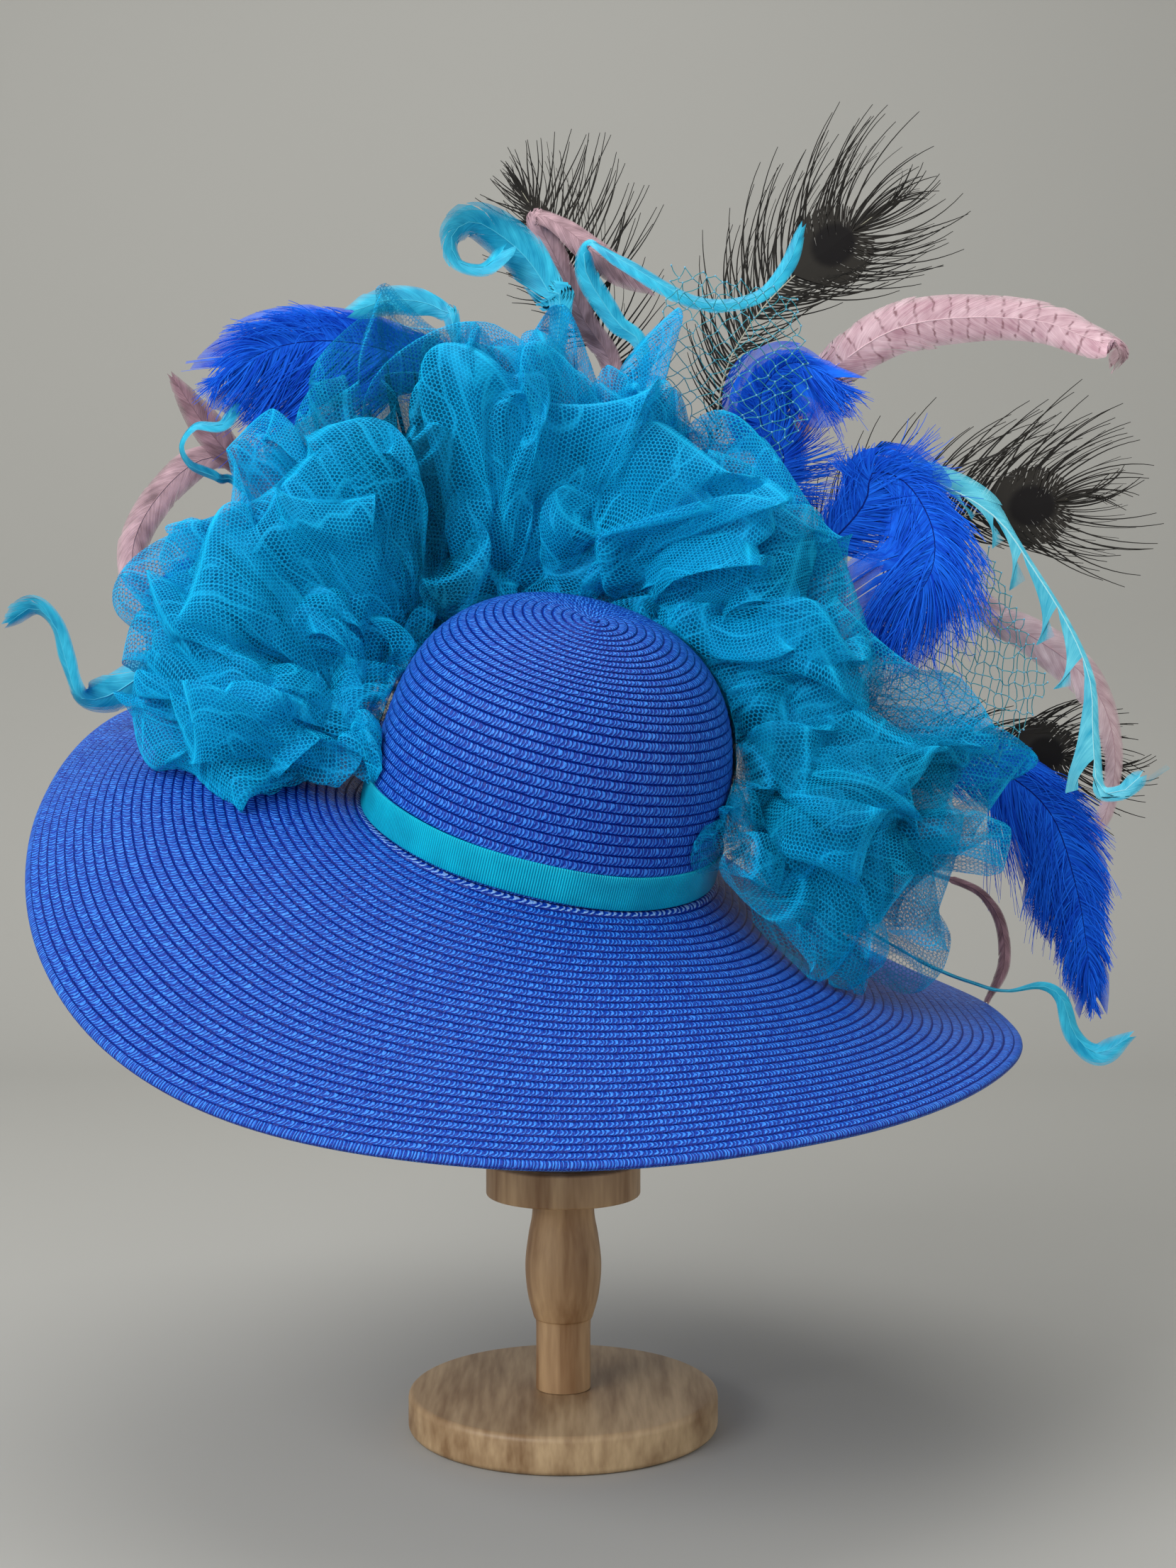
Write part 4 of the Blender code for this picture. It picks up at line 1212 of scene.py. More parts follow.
    def cloth(self, index: int, row: Puff) -> tuple[np.ndarray, np.ndarray]:
        """Folds one length of tulle into a loop.

        Args:
            index: the loop's number, which also seeds its folds.
            row: its sizes.

        Returns:
            The cloth's points, rows along it and columns across, and how far each is creased,
            which closes the net and paints it paler as a highlight, or, below 0, thinned and
            darkened with painted shade.
        """
        random = np.random.default_rng(index + 11)
        place = np.linspace(0, 1, self.along_steps + 1)[:, None]
        cut = np.linspace(0.02, 0.98, self.across_steps + 1)[None, :]
        out = np.sin(math.pi * cut) ** 0.8
        side = np.sin(FULL_TURN * cut)
        size = out**0.7
        spare = random.uniform(0, 6.28, 16)
        turns = FULL_TURN * place * row.folds
        wander, weave, lean = (
            sum(height * np.sin(turns / long + spare[number]) for height, long, number in waves)
            for waves in (self.wander, self.weave, self.lean)
        )
        swirl = 1.0 * np.sin(2.4 * out + spare[2] + turns / 6) + 0.5 * side
        phase = turns + wander + swirl
        lobe = 0.09 * np.sin(turns / 2 + wander + spare[3]) + 0.06 * np.sin(phase + spare[4])
        lobe = lobe + 0.05 * np.sin(turns * 1.37 + spare[5])
        broad = place + 0 * cut
        centre = self.roll_centre(broad)
        depth = row.depth + (weave if row.depth > 0 else 0.6 * weave)
        edge = self.edge_at(broad, depth + 0 * broad)
        aim = edge - centre
        run = unit(np.gradient(edge, axis=0))
        normal = unit(np.cross(run, aim))
        far = float(np.linalg.norm(aim, axis=-1).mean()) * row.reach
        x, y = place * self.span, np.where(cut < 0.5, out, 2 - out) * far
        crumple = self.crumple.relief(x, y, index + 20)
        wrinkle = self.wrinkle.relief(x, y, index + 60)
        drift = self.drift.relief(x, y, index + 90)
        swell = np.sin(phase) + 0.45 * np.sin(0.53 * phase + spare[6])
        swell = swell + 0.25 * np.sin(2.1 * phase + 2.0 * out + spare[7])
        stand = row.swell * swell + self.crumple.height * crumple
        stand = row.thick * side + size * (stand + self.wrinkle.height * wrinkle)
        sway = np.sin(2 * phase + spare[8]) + 0.7 * np.sin(0.61 * phase + spare[9])
        sway = size * (row.overhang * sway + self.drift.height * drift)
        aside = np.exp(-(((place - self.swept_right) / 0.10) ** 2))
        aside = aside - 0.5 * np.exp(-(((place - self.swept_left) / 0.08) ** 2))
        lean = lean + row.sweep * aside
        sway = sway + lean * out**1.5 * min(row.reach * far / 90, 1.0)
        tall = out * row.reach * (1 + lobe * out) + 0.02 * crumple * size
        points = centre + aim * tall[..., None]
        points = points + normal * stand[..., None] + run * sway[..., None]
        # The crease closes the net at the hem and on the crests, and there its colour is painted
        # paler, a painted highlight.
        hem = np.exp(-(((cut - 0.5) / self.hem_width) ** 2))
        pleat = np.clip(np.sin(phase + 0.4), 0, 1) ** 50 * size
        crease = np.clip((crumple + 0.5 * wrinkle) / 2.2, 0, 1) ** 6
        crease = np.clip(0.3 * crease + 0.25 * pleat + 0.6 * hem, 0, 1)
        # Below 0 it thins the net and darkens it with painted shade, in the valley and at the
        # right end.
        crease = crease - self.thinning_and_shade(place, out, row.depth) * (1 - crease)
        return self.shape.lift_clear(points, self.clear), crease

    def puff(self, index: int, row: Puff, tulle: bpy.types.Material) -> bpy.types.Object:
        """Builds one loop of tulle.

        Args:
            index: the loop's number.
            row: its sizes.
            tulle: the tulle's finish.

        Returns:
            The loop.
        """
        points, crease = self.cloth(index, row)
        mesh = PieceMesh()
        mesh.add_grids(points, corners=self.net_places(points, crease))
        parts = ("tulle_left", "tulle_top", "tulle_right")
        piece = mesh.build(f"tulle_puff_{index:02d}", tulle, "tulle", parts)
        width = np.linalg.norm(np.diff(points, axis=1), axis=2).sum(axis=1).mean() * MM
        return piece

    def build(self, tulle: bpy.types.Material) -> list[bpy.types.Object]:
        """Builds every loop of tulle with its finish."""
        return [self.puff(index, row, tulle) for index, row in enumerate(self.puffs)]


class Style(Enum):
    """The kinds of feather, each with its quill's radius at the foot."""

    PEACOCK = 0.9
    OSTRICH = 0.8
    VANE = 0.7


@dataclass(frozen=True)
class Row:
    """One row of a feather: its shaft, half its vane, its turn, and its barbs on either side."""

    x: float
    y: float
    z: float
    half: float
    turn: float = 0
    left: float = 0
    right: float = 0


@dataclass(frozen=True)
class Feather:
    """A feather: its style, its slot, where along the swag it is sewn, and its rows.

    Where it differs from others of its slot it names its own finish, how much of its eye's
    width shows, how its barbs curl, or how far along the shaft each hanging blade ends.
    """

    name: str
    style: Style
    slot: str
    seat: float
    rows: tuple[Row, ...]
    finish: str = ""
    eye_share: float = 1.0
    curl: float = 44.0
    blades: tuple[float, ...] = ()


FEATHERS = (
    Feather("peacock_top_left", Style.PEACOCK, "peacock", 0.50, (
        Row(23, 112, 525, 1.5, 0, 0, 30), Row(10, 114, 559, 1.5, 0, 22, 50),
        Row(-1, 116, 587, 3, 0, 28, 46), Row(-14, 116, 614, 12, 0, 14, 26),
        Row(-26, 116, 634, 3, 0, 6, 6)), eye_share=0.45, curl=16),
    Feather("peacock_top", Style.PEACOCK, "peacock", 0.60, (
        Row(74, 104, 475, 1.5), Row(85, 108, 528, 1.5, 0, 30, 10),
        Row(98, 112, 555, 1.5, 0, 50, 32), Row(117, 112, 578, 4, 0, 54, 40),
        Row(144, 112, 600, 18, 0, 42, 36), Row(166, 112, 616, 4, 0, 22, 24))),
    Feather("peacock_right", Style.PEACOCK, "peacock", 0.79, (
        Row(152, 108, 436, 1.5, 0, 50, 0), Row(178, 108, 446, 1.5, 0, 58, 0),
        Row(204, 108, 452, 1.5, 0, 60, 20), Row(229, 108, 456, 6, 0, 52, 38),
        Row(251, 108, 459, 18, 0, 37, 34), Row(270, 108, 463, 4, 0, 17, 17))),
    Feather("peacock_low_right", Style.PEACOCK, "peacock", 0.88, (
        Row(200, 108, 335, 1.5, 0, 16, 8), Row(230, 108, 331, 4, 0, 28, 22),
        Row(258, 108, 326, 14, 0, 26, 30), Row(280, 108, 321, 3, 0, 20, 24))),
    Feather("ostrich_left", Style.OSTRICH, "ostrich", 0.37, (
        Row(-55, 84, 514, 8, 0, 32, 12), Row(-89, 88, 537, 12, 0, 52, 16),
        Row(-123, 88, 544, 12, 0, 40, 20), Row(-152, 84, 540, 8, 0, 24, 20),
        Row(-173, 78, 528, 3, 0, 16, 16))),
    Feather("ostrich_left_low", Style.OSTRICH, "ostrich", 0.19, (
        Row(-168, 66, 427, 5), Row(-186, 66, 424, 7, 0, 8, 12),
        Row(-202, 64, 408, 3, 0, 10, 10))),
    Feather("ostrich_top", Style.OSTRICH, "ostrich", 0.66, (
        Row(113, 84, 473, 12, 0, 14, 22), Row(104, 90, 500, 12, 0, 8, 30),
        Row(105, 90, 520, 9, 0, 4, 32), Row(120, 84, 532, 6, 0, 4, 26),
        Row(138, 74, 522, 4, 0, 8, 16))),
    Feather("ostrich_right", Style.OSTRICH, "ostrich", 0.72, (
        Row(150, 74, 448, 8, 0, 24, 30), Row(160, 76, 472, 9, 0, 12, 44),
        Row(178, 74, 467, 13, 0, 6, 50), Row(190, 66, 444, 14, 0, 18, 48),
        Row(189, 58, 421, 12, 0, 22, 34), Row(176, 52, 400, 6, 0, 14, 14))),
    Feather("ostrich_low_right", Style.OSTRICH, "ostrich", 0.91, (
        Row(204, 88, 326, 7, 0, 14, 24), Row(236, 87, 313, 9, 0, 18, 34),
        Row(257, 84, 292, 8, 0, 20, 30), Row(268, 78, 255, 6, 0, 12, 18),
        Row(272, 72, 224, 5, 0, 9, 12), Row(274, 70, 203, 2, 0, 9, 10))),
    Feather("turquoise_curl_top_left", Style.VANE, "turquoise", 0.45, (
        Row(-3, 74, 551, 9), Row(-8, 76, 566, 12), Row(-20, 78, 585, 12),
        Row(-34, 76, 597, 10, 20), Row(-48, 68, 602, 8, 40), Row(-58, 60, 593, 7, 55),
        Row(-55, 57, 579, 7, 55), Row(-42, 62, 577, 7, 45), Row(-32, 68, 587, 3, 40))),
    Feather("turquoise_curl_top", Style.VANE, "turquoise", 0.555, (
        Row(41, 84, 528, 4), Row(26, 88, 555, 6), Row(11, 88, 580, 5, 10),
        Row(13, 80, 594, 5, 60), Row(31, 73, 582, 6, 40), Row(68, 69, 561, 5, 35),
        Row(98, 71, 563, 4, 30), Row(115, 74, 579, 4, 10), Row(124, 76, 601, 1.2))),
    Feather("turquoise_notched", Style.VANE, "turquoise", 0.765, (
        Row(152, 86, 440, 2), Row(174, 89, 474, 9), Row(202, 86, 466, 9, 0, 0, 7),
        Row(228, 84, 449, 3, 0, 0, 12), Row(246, 82, 423, 2, 0, 0, 17),
        Row(264, 80, 393, 2, 0, 0, 18), Row(275, 78, 364, 3, 0, 0, 18),
        Row(276, 76, 334, 4, 0, 0, 17), Row(278, 72, 308, 4, 10), Row(288, 66, 306, 5, 30),
        Row(297, 62, 314, 1.2, 30)), finish="bright", blades=(80, 102, 126, 160, 190, 244)),
    Feather("turquoise_tail", Style.VANE, "turquoise", 0.995, (
        Row(178, 50, 222, 1), Row(211, 50, 208, 1), Row(226, 48, 205, 1),
        Row(242, 44, 208, 3), Row(252, 42, 202, 6, 20), Row(258, 40, 184, 7, 40),
        Row(269, 36, 175, 5, 40), Row(284, 32, 184, 1.2, 20))),
    Feather("turquoise_ring_left", Style.VANE, "turquoise", 0.27, (
        Row(-166, 88, 461, 2), Row(-183, 84, 471, 4, 40), Row(-197, 80, 477, 4, 60),
        Row(-201, 75, 487, 4, 60), Row(-193, 73, 497, 4, 50), Row(-179, 76, 498, 4, 30),
        Row(-171, 82, 513, 1))),
    Feather("turquoise_flat_left", Style.VANE, "turquoise", 0.415, (
        Row(-56, 64, 536, 4), Row(-64, 68, 556, 8), Row(-88, 70, 562, 7),
        Row(-110, 70, 556, 2))),
    Feather("turquoise_hook_left", Style.VANE, "turquoise", 0.11, (
        Row(-167, 40, 390, 8), Row(-189, 42, 384, 10), Row(-214, 44, 366, 10),
        Row(-232, 44, 355, 8, 20), Row(-246, 42, 355, 6, 50), Row(-251, 36, 373, 7, 35),
        Row(-255, 30, 390, 7, 50), Row(-265, 28, 399, 5, 50), Row(-278, 28, 391, 1.2, 40))),
    Feather("pink_curl_top", Style.VANE, "pink", 0.525, (
        Row(26, 100, 520, 6), Row(9, 103, 560, 7), Row(-7, 104, 595, 7),
        Row(-16, 100, 613, 6, 40), Row(-2, 96, 607, 8, 20), Row(20, 95, 589, 8, 10),
        Row(45, 96, 574, 2, 10)), finish="mauve"),
    Feather("pink_barred", Style.VANE, "pink", 0.69, (
        Row(133, 104, 516, 12), Row(150, 104, 537, 14), Row(179, 102, 554, 14),
        Row(216, 100, 559, 12), Row(253, 96, 556, 11, 5), Row(278, 92, 546, 10, 20),
        Row(293, 86, 540, 7, 50), Row(288, 80, 530, 2, 60))),
    Feather("pink_arc_right", Style.VANE, "pink", 0.82, (
        Row(205, 97, 401, 7), Row(235, 97, 395, 10), Row(257, 97, 383, 11),
        Row(276, 97, 368, 9, 10), Row(288, 97, 349, 7, 20), Row(293, 97, 323, 5, 20),
        Row(289, 97, 297, 4, 10), Row(280, 96, 280, 1.2, 10)), finish="pale"),
    Feather("pink_tail", Style.VANE, "pink", 0.95, (
        Row(196, 62, 262, 2), Row(222, 66, 246, 3), Row(227, 62, 219, 3),
        Row(217, 58, 198, 1)), finish="dusky"),
    Feather("pink_blade_left", Style.VANE, "pink", 0.348, (
        Row(-150, 96, 466, 6), Row(-172, 96, 479, 9), Row(-190, 96, 498, 7, 10),
        Row(-209, 94, 526, 1)), finish="dusky"),
    Feather("pink_drop_left", Style.VANE, "pink", 0.285, (
        Row(-168, 112, 474, 5), Row(-185, 112, 486, 9), Row(-203, 110, 481, 9),
        Row(-222, 108, 461, 8), Row(-232, 106, 440, 7, 10), Row(-231, 102, 421, 8, 20),
        Row(-220, 98, 411, 3, 30)), finish="mauve"),
)


class Shaft:
    """A feather's shaft, read by distance along it, with its vane's directions."""

    fine: int = 240
    clear: float = 4.0

    def __init__(self, feather: Feather, swag: TulleSwag) -> None:
        """Lays the shaft from the swag through the feather's rows.

        Args:
            feather: the feather.
            swag: the tulle that it is sewn to.
        """
        rows = np.array([(r.x, r.y, r.z, r.half, r.turn, r.left, r.right) for r in feather.rows],
                        float)
        centre = swag.roll_centre(np.array(feather.seat))
        aim = unit(rows[0, :3] - centre)
        seat = np.concatenate([centre + aim * swag.roll_radius * 0.6, [1.0, 0, 0, 0]])
        samples = curve_through(np.vstack([seat, rows]), np.linspace(0, 1, self.fine))
        place = swag.shape.lift_clear(samples[:, :3], self.clear)
        self.length = travelled(place)
        self.first = float(self.length[self.fine // len(feather.rows)])
        self.end = float(self.length[-1])
        run = unit(np.gradient(place, axis=0))
        turn = np.radians(samples[:, 4])[:, None]
        flat = unit(np.cross(run, np.array([0.0, -1.0, 0.0])))
        face = np.cross(flat, run)
        right = np.cos(turn) * flat + np.sin(turn) * face
        self.table = np.hstack([place, run, right, np.cross(right, run)])
        self.sizes = np.maximum(samples[:, [3, 5, 6]], 0)

    def read(self, distance: np.ndarray) -> list[np.ndarray]:
        """Reads the shaft.

        Args:
            distance: distances along the shaft; past its end it runs on straight.

        Returns:
            The places, and the directions along it, to its right and out of its face.
        """
        held = np.clip(distance, 0, self.end)
        columns = [np.interp(held, self.length, column) for column in self.table.T]
        values = np.stack(columns, axis=-1)
        place, run, right, face = (values[..., start : start + 3] for start in (0, 3, 6, 9))
        return [place + run * (distance - held)[..., None], run, right, face]

    def size(self, distance: np.ndarray, column: int) -> np.ndarray:
        """Half the vane (0), or the left (1) or right (2) barbs' length, at a distance."""
        return np.interp(distance, self.length, self.sizes[:, column])

    def spot(self, distance: np.ndarray, across: np.ndarray, lift: np.ndarray) -> np.ndarray:
        """Points beside the shaft: a distance along, a distance across and a lift to the face."""
        place, _, right, face = self.read(distance)
        return place + right * across[..., None] + face * lift[..., None]


@dataclass(frozen=True)
class Barbs:
    """One kind of loose barbs.

    The sizes are their pitch along the shaft and their width at the root; their angle to the
    shaft, and how far they curl over their length; how far they wave and how far they droop;
    their scale, a share of the table's length; how far they lift off the vane's plane; and the
    steps along one. Loose is how far tufts stray, clump is a tuft's width, and sparse is the
    share that is left out near the shaft's foot.
    """

    pitch: float
    width: float
    angle: float
    curl: float
    wave: float
    droop: float
    scale: float
    lift: float
    steps: int
    loose: float = 0.3
    clump: float = 4.0
    sparse: float = 0.0


@dataclass
class Plumage:
    """All the feathers, each a quill with its barbs.

    A vane's barbs are 0.8 mm apart and split every 14 mm or so. Each starts where it leaves the
    quill, a little up the shaft from its foot. An eye's barbs lie closer.
    """

    swag: TulleSwag
    quill_sides: int = 5
    quill_steps: int = 40
    vane_points: int = 6
    barb_pitch: float = 0.8
    barb_overlap: float = 1.2
    split: float = 14.0
    blade_tip: float = 14.0
    bare: float = 0.55
    under_fill: float = 0.5
    side_shift: float = 500.0
    eye_pitch: float = 0.7
    eye_barb: float = 0.9

    def barbs(self, feather: Feather) -> tuple[Barbs, ...]:
        """The kinds of loose barbs that a feather's style has."""
        return {
            Style.PEACOCK: (
                Barbs(pitch=2.1, width=1.2, angle=60, curl=feather.curl, wave=0.9, droop=0.0,
                      scale=1.35, lift=1.6, steps=12, sparse=0.65),
                Barbs(pitch=2.2, width=0.8, angle=48, curl=34, wave=1.4, droop=0.0,
                      scale=1.05, lift=1.6, steps=12, sparse=1.0),
            ),
            Style.OSTRICH: (
                Barbs(pitch=0.32, width=0.8, angle=64, curl=40, wave=0.9, droop=0.25,
                      scale=1.1, lift=2.5, steps=8, loose=0.4, clump=3.0),
                Barbs(pitch=0.6, width=0.6, angle=50, curl=30, wave=1.8, droop=0.4,
                      scale=1.05, lift=6.0, steps=8, loose=1.4),
            ),
            Style.VANE: (),
        }[feather.style]

    def quill(self, mesh: PieceMesh, shaft: Shaft, thick: float) -> None:
        """Adds the quill, a thin tube that tapers to the tip.

        Args:
            mesh: the feather's mesh.
            shaft: its shaft.
            thick: the quill's radius at its foot.
        """
        distance = np.linspace(0, shaft.end, self.quill_steps)[:, None]
        turn = np.linspace(0, FULL_TURN, self.quill_sides + 1)[None, :]
        radius = thick * (1 - 0.8 * distance / shaft.end)
        points = shaft.spot(distance + 0 * turn, radius * np.cos(turn), radius * np.sin(turn))
        mesh.add_grids(points, distance, tone=QUILL_TONE)

    def vane(
        self, mesh: PieceMesh, shaft: Shaft, random: np.random.Generator, feather: Feather
    ) -> None:
        """Adds a flat vane of barbs laid side by side, split here and there.

        Under an ostrich plume's loose barbs it is wider and lies lower.

        Args:
            mesh: the feather's mesh.
            shaft: its shaft.
            random: picks where the vane is split.
            feather: its style, and where each hanging blade of its right side ends.
        """
        fill_share = self.under_fill if feather.style is Style.OSTRICH else 0.0
        roots = np.arange(shaft.first * self.bare, shaft.end - 1, self.barb_pitch)
        barb = self.barb_pitch * self.barb_overlap
        step = np.linspace(0, 1, self.vane_points)
        for side in (-1, 1):
            group = np.cumsum(random.uniform(size=len(roots)) < self.barb_pitch / self.split)
            shift = random.uniform(-1, 1, group.max() + 1)[group]
            long = shaft.size(roots, 1 if side < 0 else 2)
            half = shaft.size(roots, 0) + fill_share * long
            half = np.where(roots < shaft.first, half * 0.7, half)
            forward = half * (1.9 + 0.25 * shift) + 1.5
            wide = half * (1 + 0.07 * shift)
            if feather.blades and side > 0:
                hang = long > 5
                cuts = np.array([*(shaft.first + np.array(feather.blades)), shaft.end])
                cell = np.searchsorted(cuts, roots)
                first = np.where(cell > 0, cuts[cell - 1], 0.0)
                pull = np.clip((roots - first) / (cuts[cell] - first), 0, 1)
                forward = np.where(hang, cuts[cell] + self.blade_tip - roots, forward)
                wide = np.where(hang, long * (0.55 + 0.5 * pull), wide)
            tone = random.uniform(0, 1, len(roots)) * 0.25 + 0.5 * (shift * 0.5 + 0.5)
            low_line = roots[:, None] + forward[:, None] * step**1.15
            high_line = low_line + barb * (1 - 0.5 * step**3)
            across = side * wide[:, None] * (step**0.9)
            camber = -0.22 * wide[:, None] * step**2 - 2 * bool(fill_share)
            low = shaft.spot(low_line, across, camber)
            high = shaft.spot(high_line, across, camber + 0.02)
            along = roots[:, None, None] + np.array([0.0, barb]) + self.side_shift * (side > 0)
            mesh.add_grids(np.stack([low, high], axis=2), along, low_line[..., None],
                           tone[:, None, None])

    def strands(
        self, mesh: PieceMesh, shaft: Shaft, random: np.random.Generator, barbs: Barbs
    ) -> None:
        """Adds loose barbs, each a thin ribbon of its own.

        Args:
            mesh: the feather's mesh.
            shaft: its shaft.
            random: picks lengths, angles and curls.
            barbs: their sizes.
        """
        share = np.linspace(0, 1, barbs.steps)
        for side in (-1, 1):
            roots = np.arange(shaft.first * 0.8, shaft.end, barbs.pitch)
            roots = roots + random.uniform(-0.4, 0.4, len(roots)) * barbs.pitch
            long = shaft.size(roots, 1 if side < 0 else 2) + shaft.size(roots, 0)
            near = np.clip(1.25 - 1.5 * roots / shaft.end, 0, 1)
            keep = (long > 3.5) & (random.uniform(size=len(roots)) > barbs.sparse * near)
            roots, long = roots[keep], long[keep] * barbs.scale
            long = long * random.uniform(0.85, 1.08, len(roots))
            group = np.floor(roots / barbs.clump).astype(int)
            jitter = random.normal(0, 1, (group.max() + 2, 3))[group]
            long = long * (1 + 0.12 * barbs.loose * jitter[:, 0])
            place, run, right, face = (v[:, None] for v in shaft.read(roots))
            lean = barbs.angle + random.normal(0, 3, len(roots)) + 7 * barbs.loose * jitter[:, 1]
            lean = np.radians(lean)[:, None]
            ease = np.clip((shaft.end - roots) / 25, 0.12, 1)[:, None]
            turned = lean * ease - np.radians(barbs.curl) * share[None, :]
            turned = turned + random.normal(0, 0.08, (len(roots), 1)) * share
            turned = turned + 0.22 * barbs.loose * jitter[:, 2:] * share**2
            stride = long[:, None] / (barbs.steps - 1)
            forward = np.cumsum(np.cos(turned) * stride, axis=1) - np.cos(turned[:, :1]) * stride
            aside = np.cumsum(np.sin(turned) * stride, axis=1) - np.sin(turned[:, :1]) * stride
            phase = random.uniform(0, 6.3, (len(roots), 1))
            sway = np.sin(phase + share * random.uniform(4, 9, (len(roots), 1)))
            sway = barbs.wave * sway * share
            off = barbs.lift * random.normal(0, 1, (len(roots), 1)) * share
            sag = barbs.droop * long[:, None] * share**2
            line = place + run * (forward + sway)[..., None]
            line = line + right * (side * aside)[..., None] + face * off[..., None]
            line = line - np.array([0, 0, 1.0]) * sag[..., None]
            tangent = unit(np.gradient(line, axis=1))
            across = unit(np.cross(tangent, face)) * (barbs.width / 2 * (1 - 0.7 * share))[:, None]
            tone = random.uniform(0, 1, len(roots))
            mesh.add_grids(np.stack([line - across, line + across], axis=2),
                           roots[:, None, None], (side * share)[:, None], tone[:, None, None])

    def eye(
        self, mesh: PieceMesh, shaft: Shaft, random: np.random.Generator, shown: float
    ) -> None:
        """Adds a peacock feather's eye, an oval of barbs laid close.

        Args:
            mesh: the feather's mesh.
            shaft: its shaft.
            random: picks the barbs' lengths.
            shown: how much of its width shows.
        """
        fine = np.linspace(0, shaft.end, 200)
        wide = shaft.size(fine, 0)
        centre = fine[np.argmax(wide)]
        half = wide.max() * 1.25
        across_half = wide.max() * 1.1 * shown
        roots = np.arange(centre - half * 1.15, centre + half * 0.8, self.eye_pitch)
        step = np.linspace(0, 1, 6)
        for side in (-1, 1):
            ends = np.clip(roots + half * 0.45, centre - half, centre + half)
            share = np.clip((ends - centre) / half, -1, 1)
            wide_here = across_half * np.sqrt(1 - share**2) + 1.5
            wide_here = wide_here * random.uniform(0.94, 1.05, len(roots))
            distance = roots[:, None] + (ends - roots)[:, None] * step**1.2
            across = side * wide_here[:, None] * step
            low = shaft.spot(distance, across, 0.8 + 0 * across)
            high = shaft.spot(distance + self.eye_barb, across, 0.85 + 0 * across)
            away = np.clip(np.hypot((distance - centre) / half, across / across_half), 0, 1)
            mesh.add_grids(np.stack([low, high], axis=2), roots[:, None, None],
                           (side * step)[:, None], EYE_TONE - 0.9 * away[..., None] ** 1.5)

    def build(self, finishes: dict[str, bpy.types.Material]) -> list[bpy.types.Object]:
        """Builds every feather.

        Args:
            finishes: each slot's finish, and those that single feathers name.

        Returns:
            The feathers.
        """
        pieces = []
        for index, feather in enumerate(FEATHERS):
            random = np.random.default_rng(100 + index)
            shaft = Shaft(feather, self.swag)
            mesh = PieceMesh()
            self.quill(mesh, shaft, feather.style.value)
            if feather.style is not Style.PEACOCK:
                self.vane(mesh, shaft, random, feather)
            for barbs in self.barbs(feather):
                self.strands(mesh, shaft, random, barbs)
            if feather.style is Style.PEACOCK:
                self.eye(mesh, shaft, random, feather.eye_share)
            material = finishes[feather.finish or feather.slot]
            name = feather.name + "_barbs"
            pieces.append(mesh.build(name, material, feather.slot, (feather.name,)))
        return pieces


@dataclass(frozen=True)
class NetRow:
    """One row of a piece of net, from its left edge to its right edge."""

    left: tuple[float, float, float]
    right: tuple[float, float, float]
    bulge: float


@dataclass(frozen=True)
class Net:
    """A piece of coarse net: its name, where it is sewn, and its rows from the root up."""

    name: str
    seat: float
    rows: tuple[NetRow, ...]


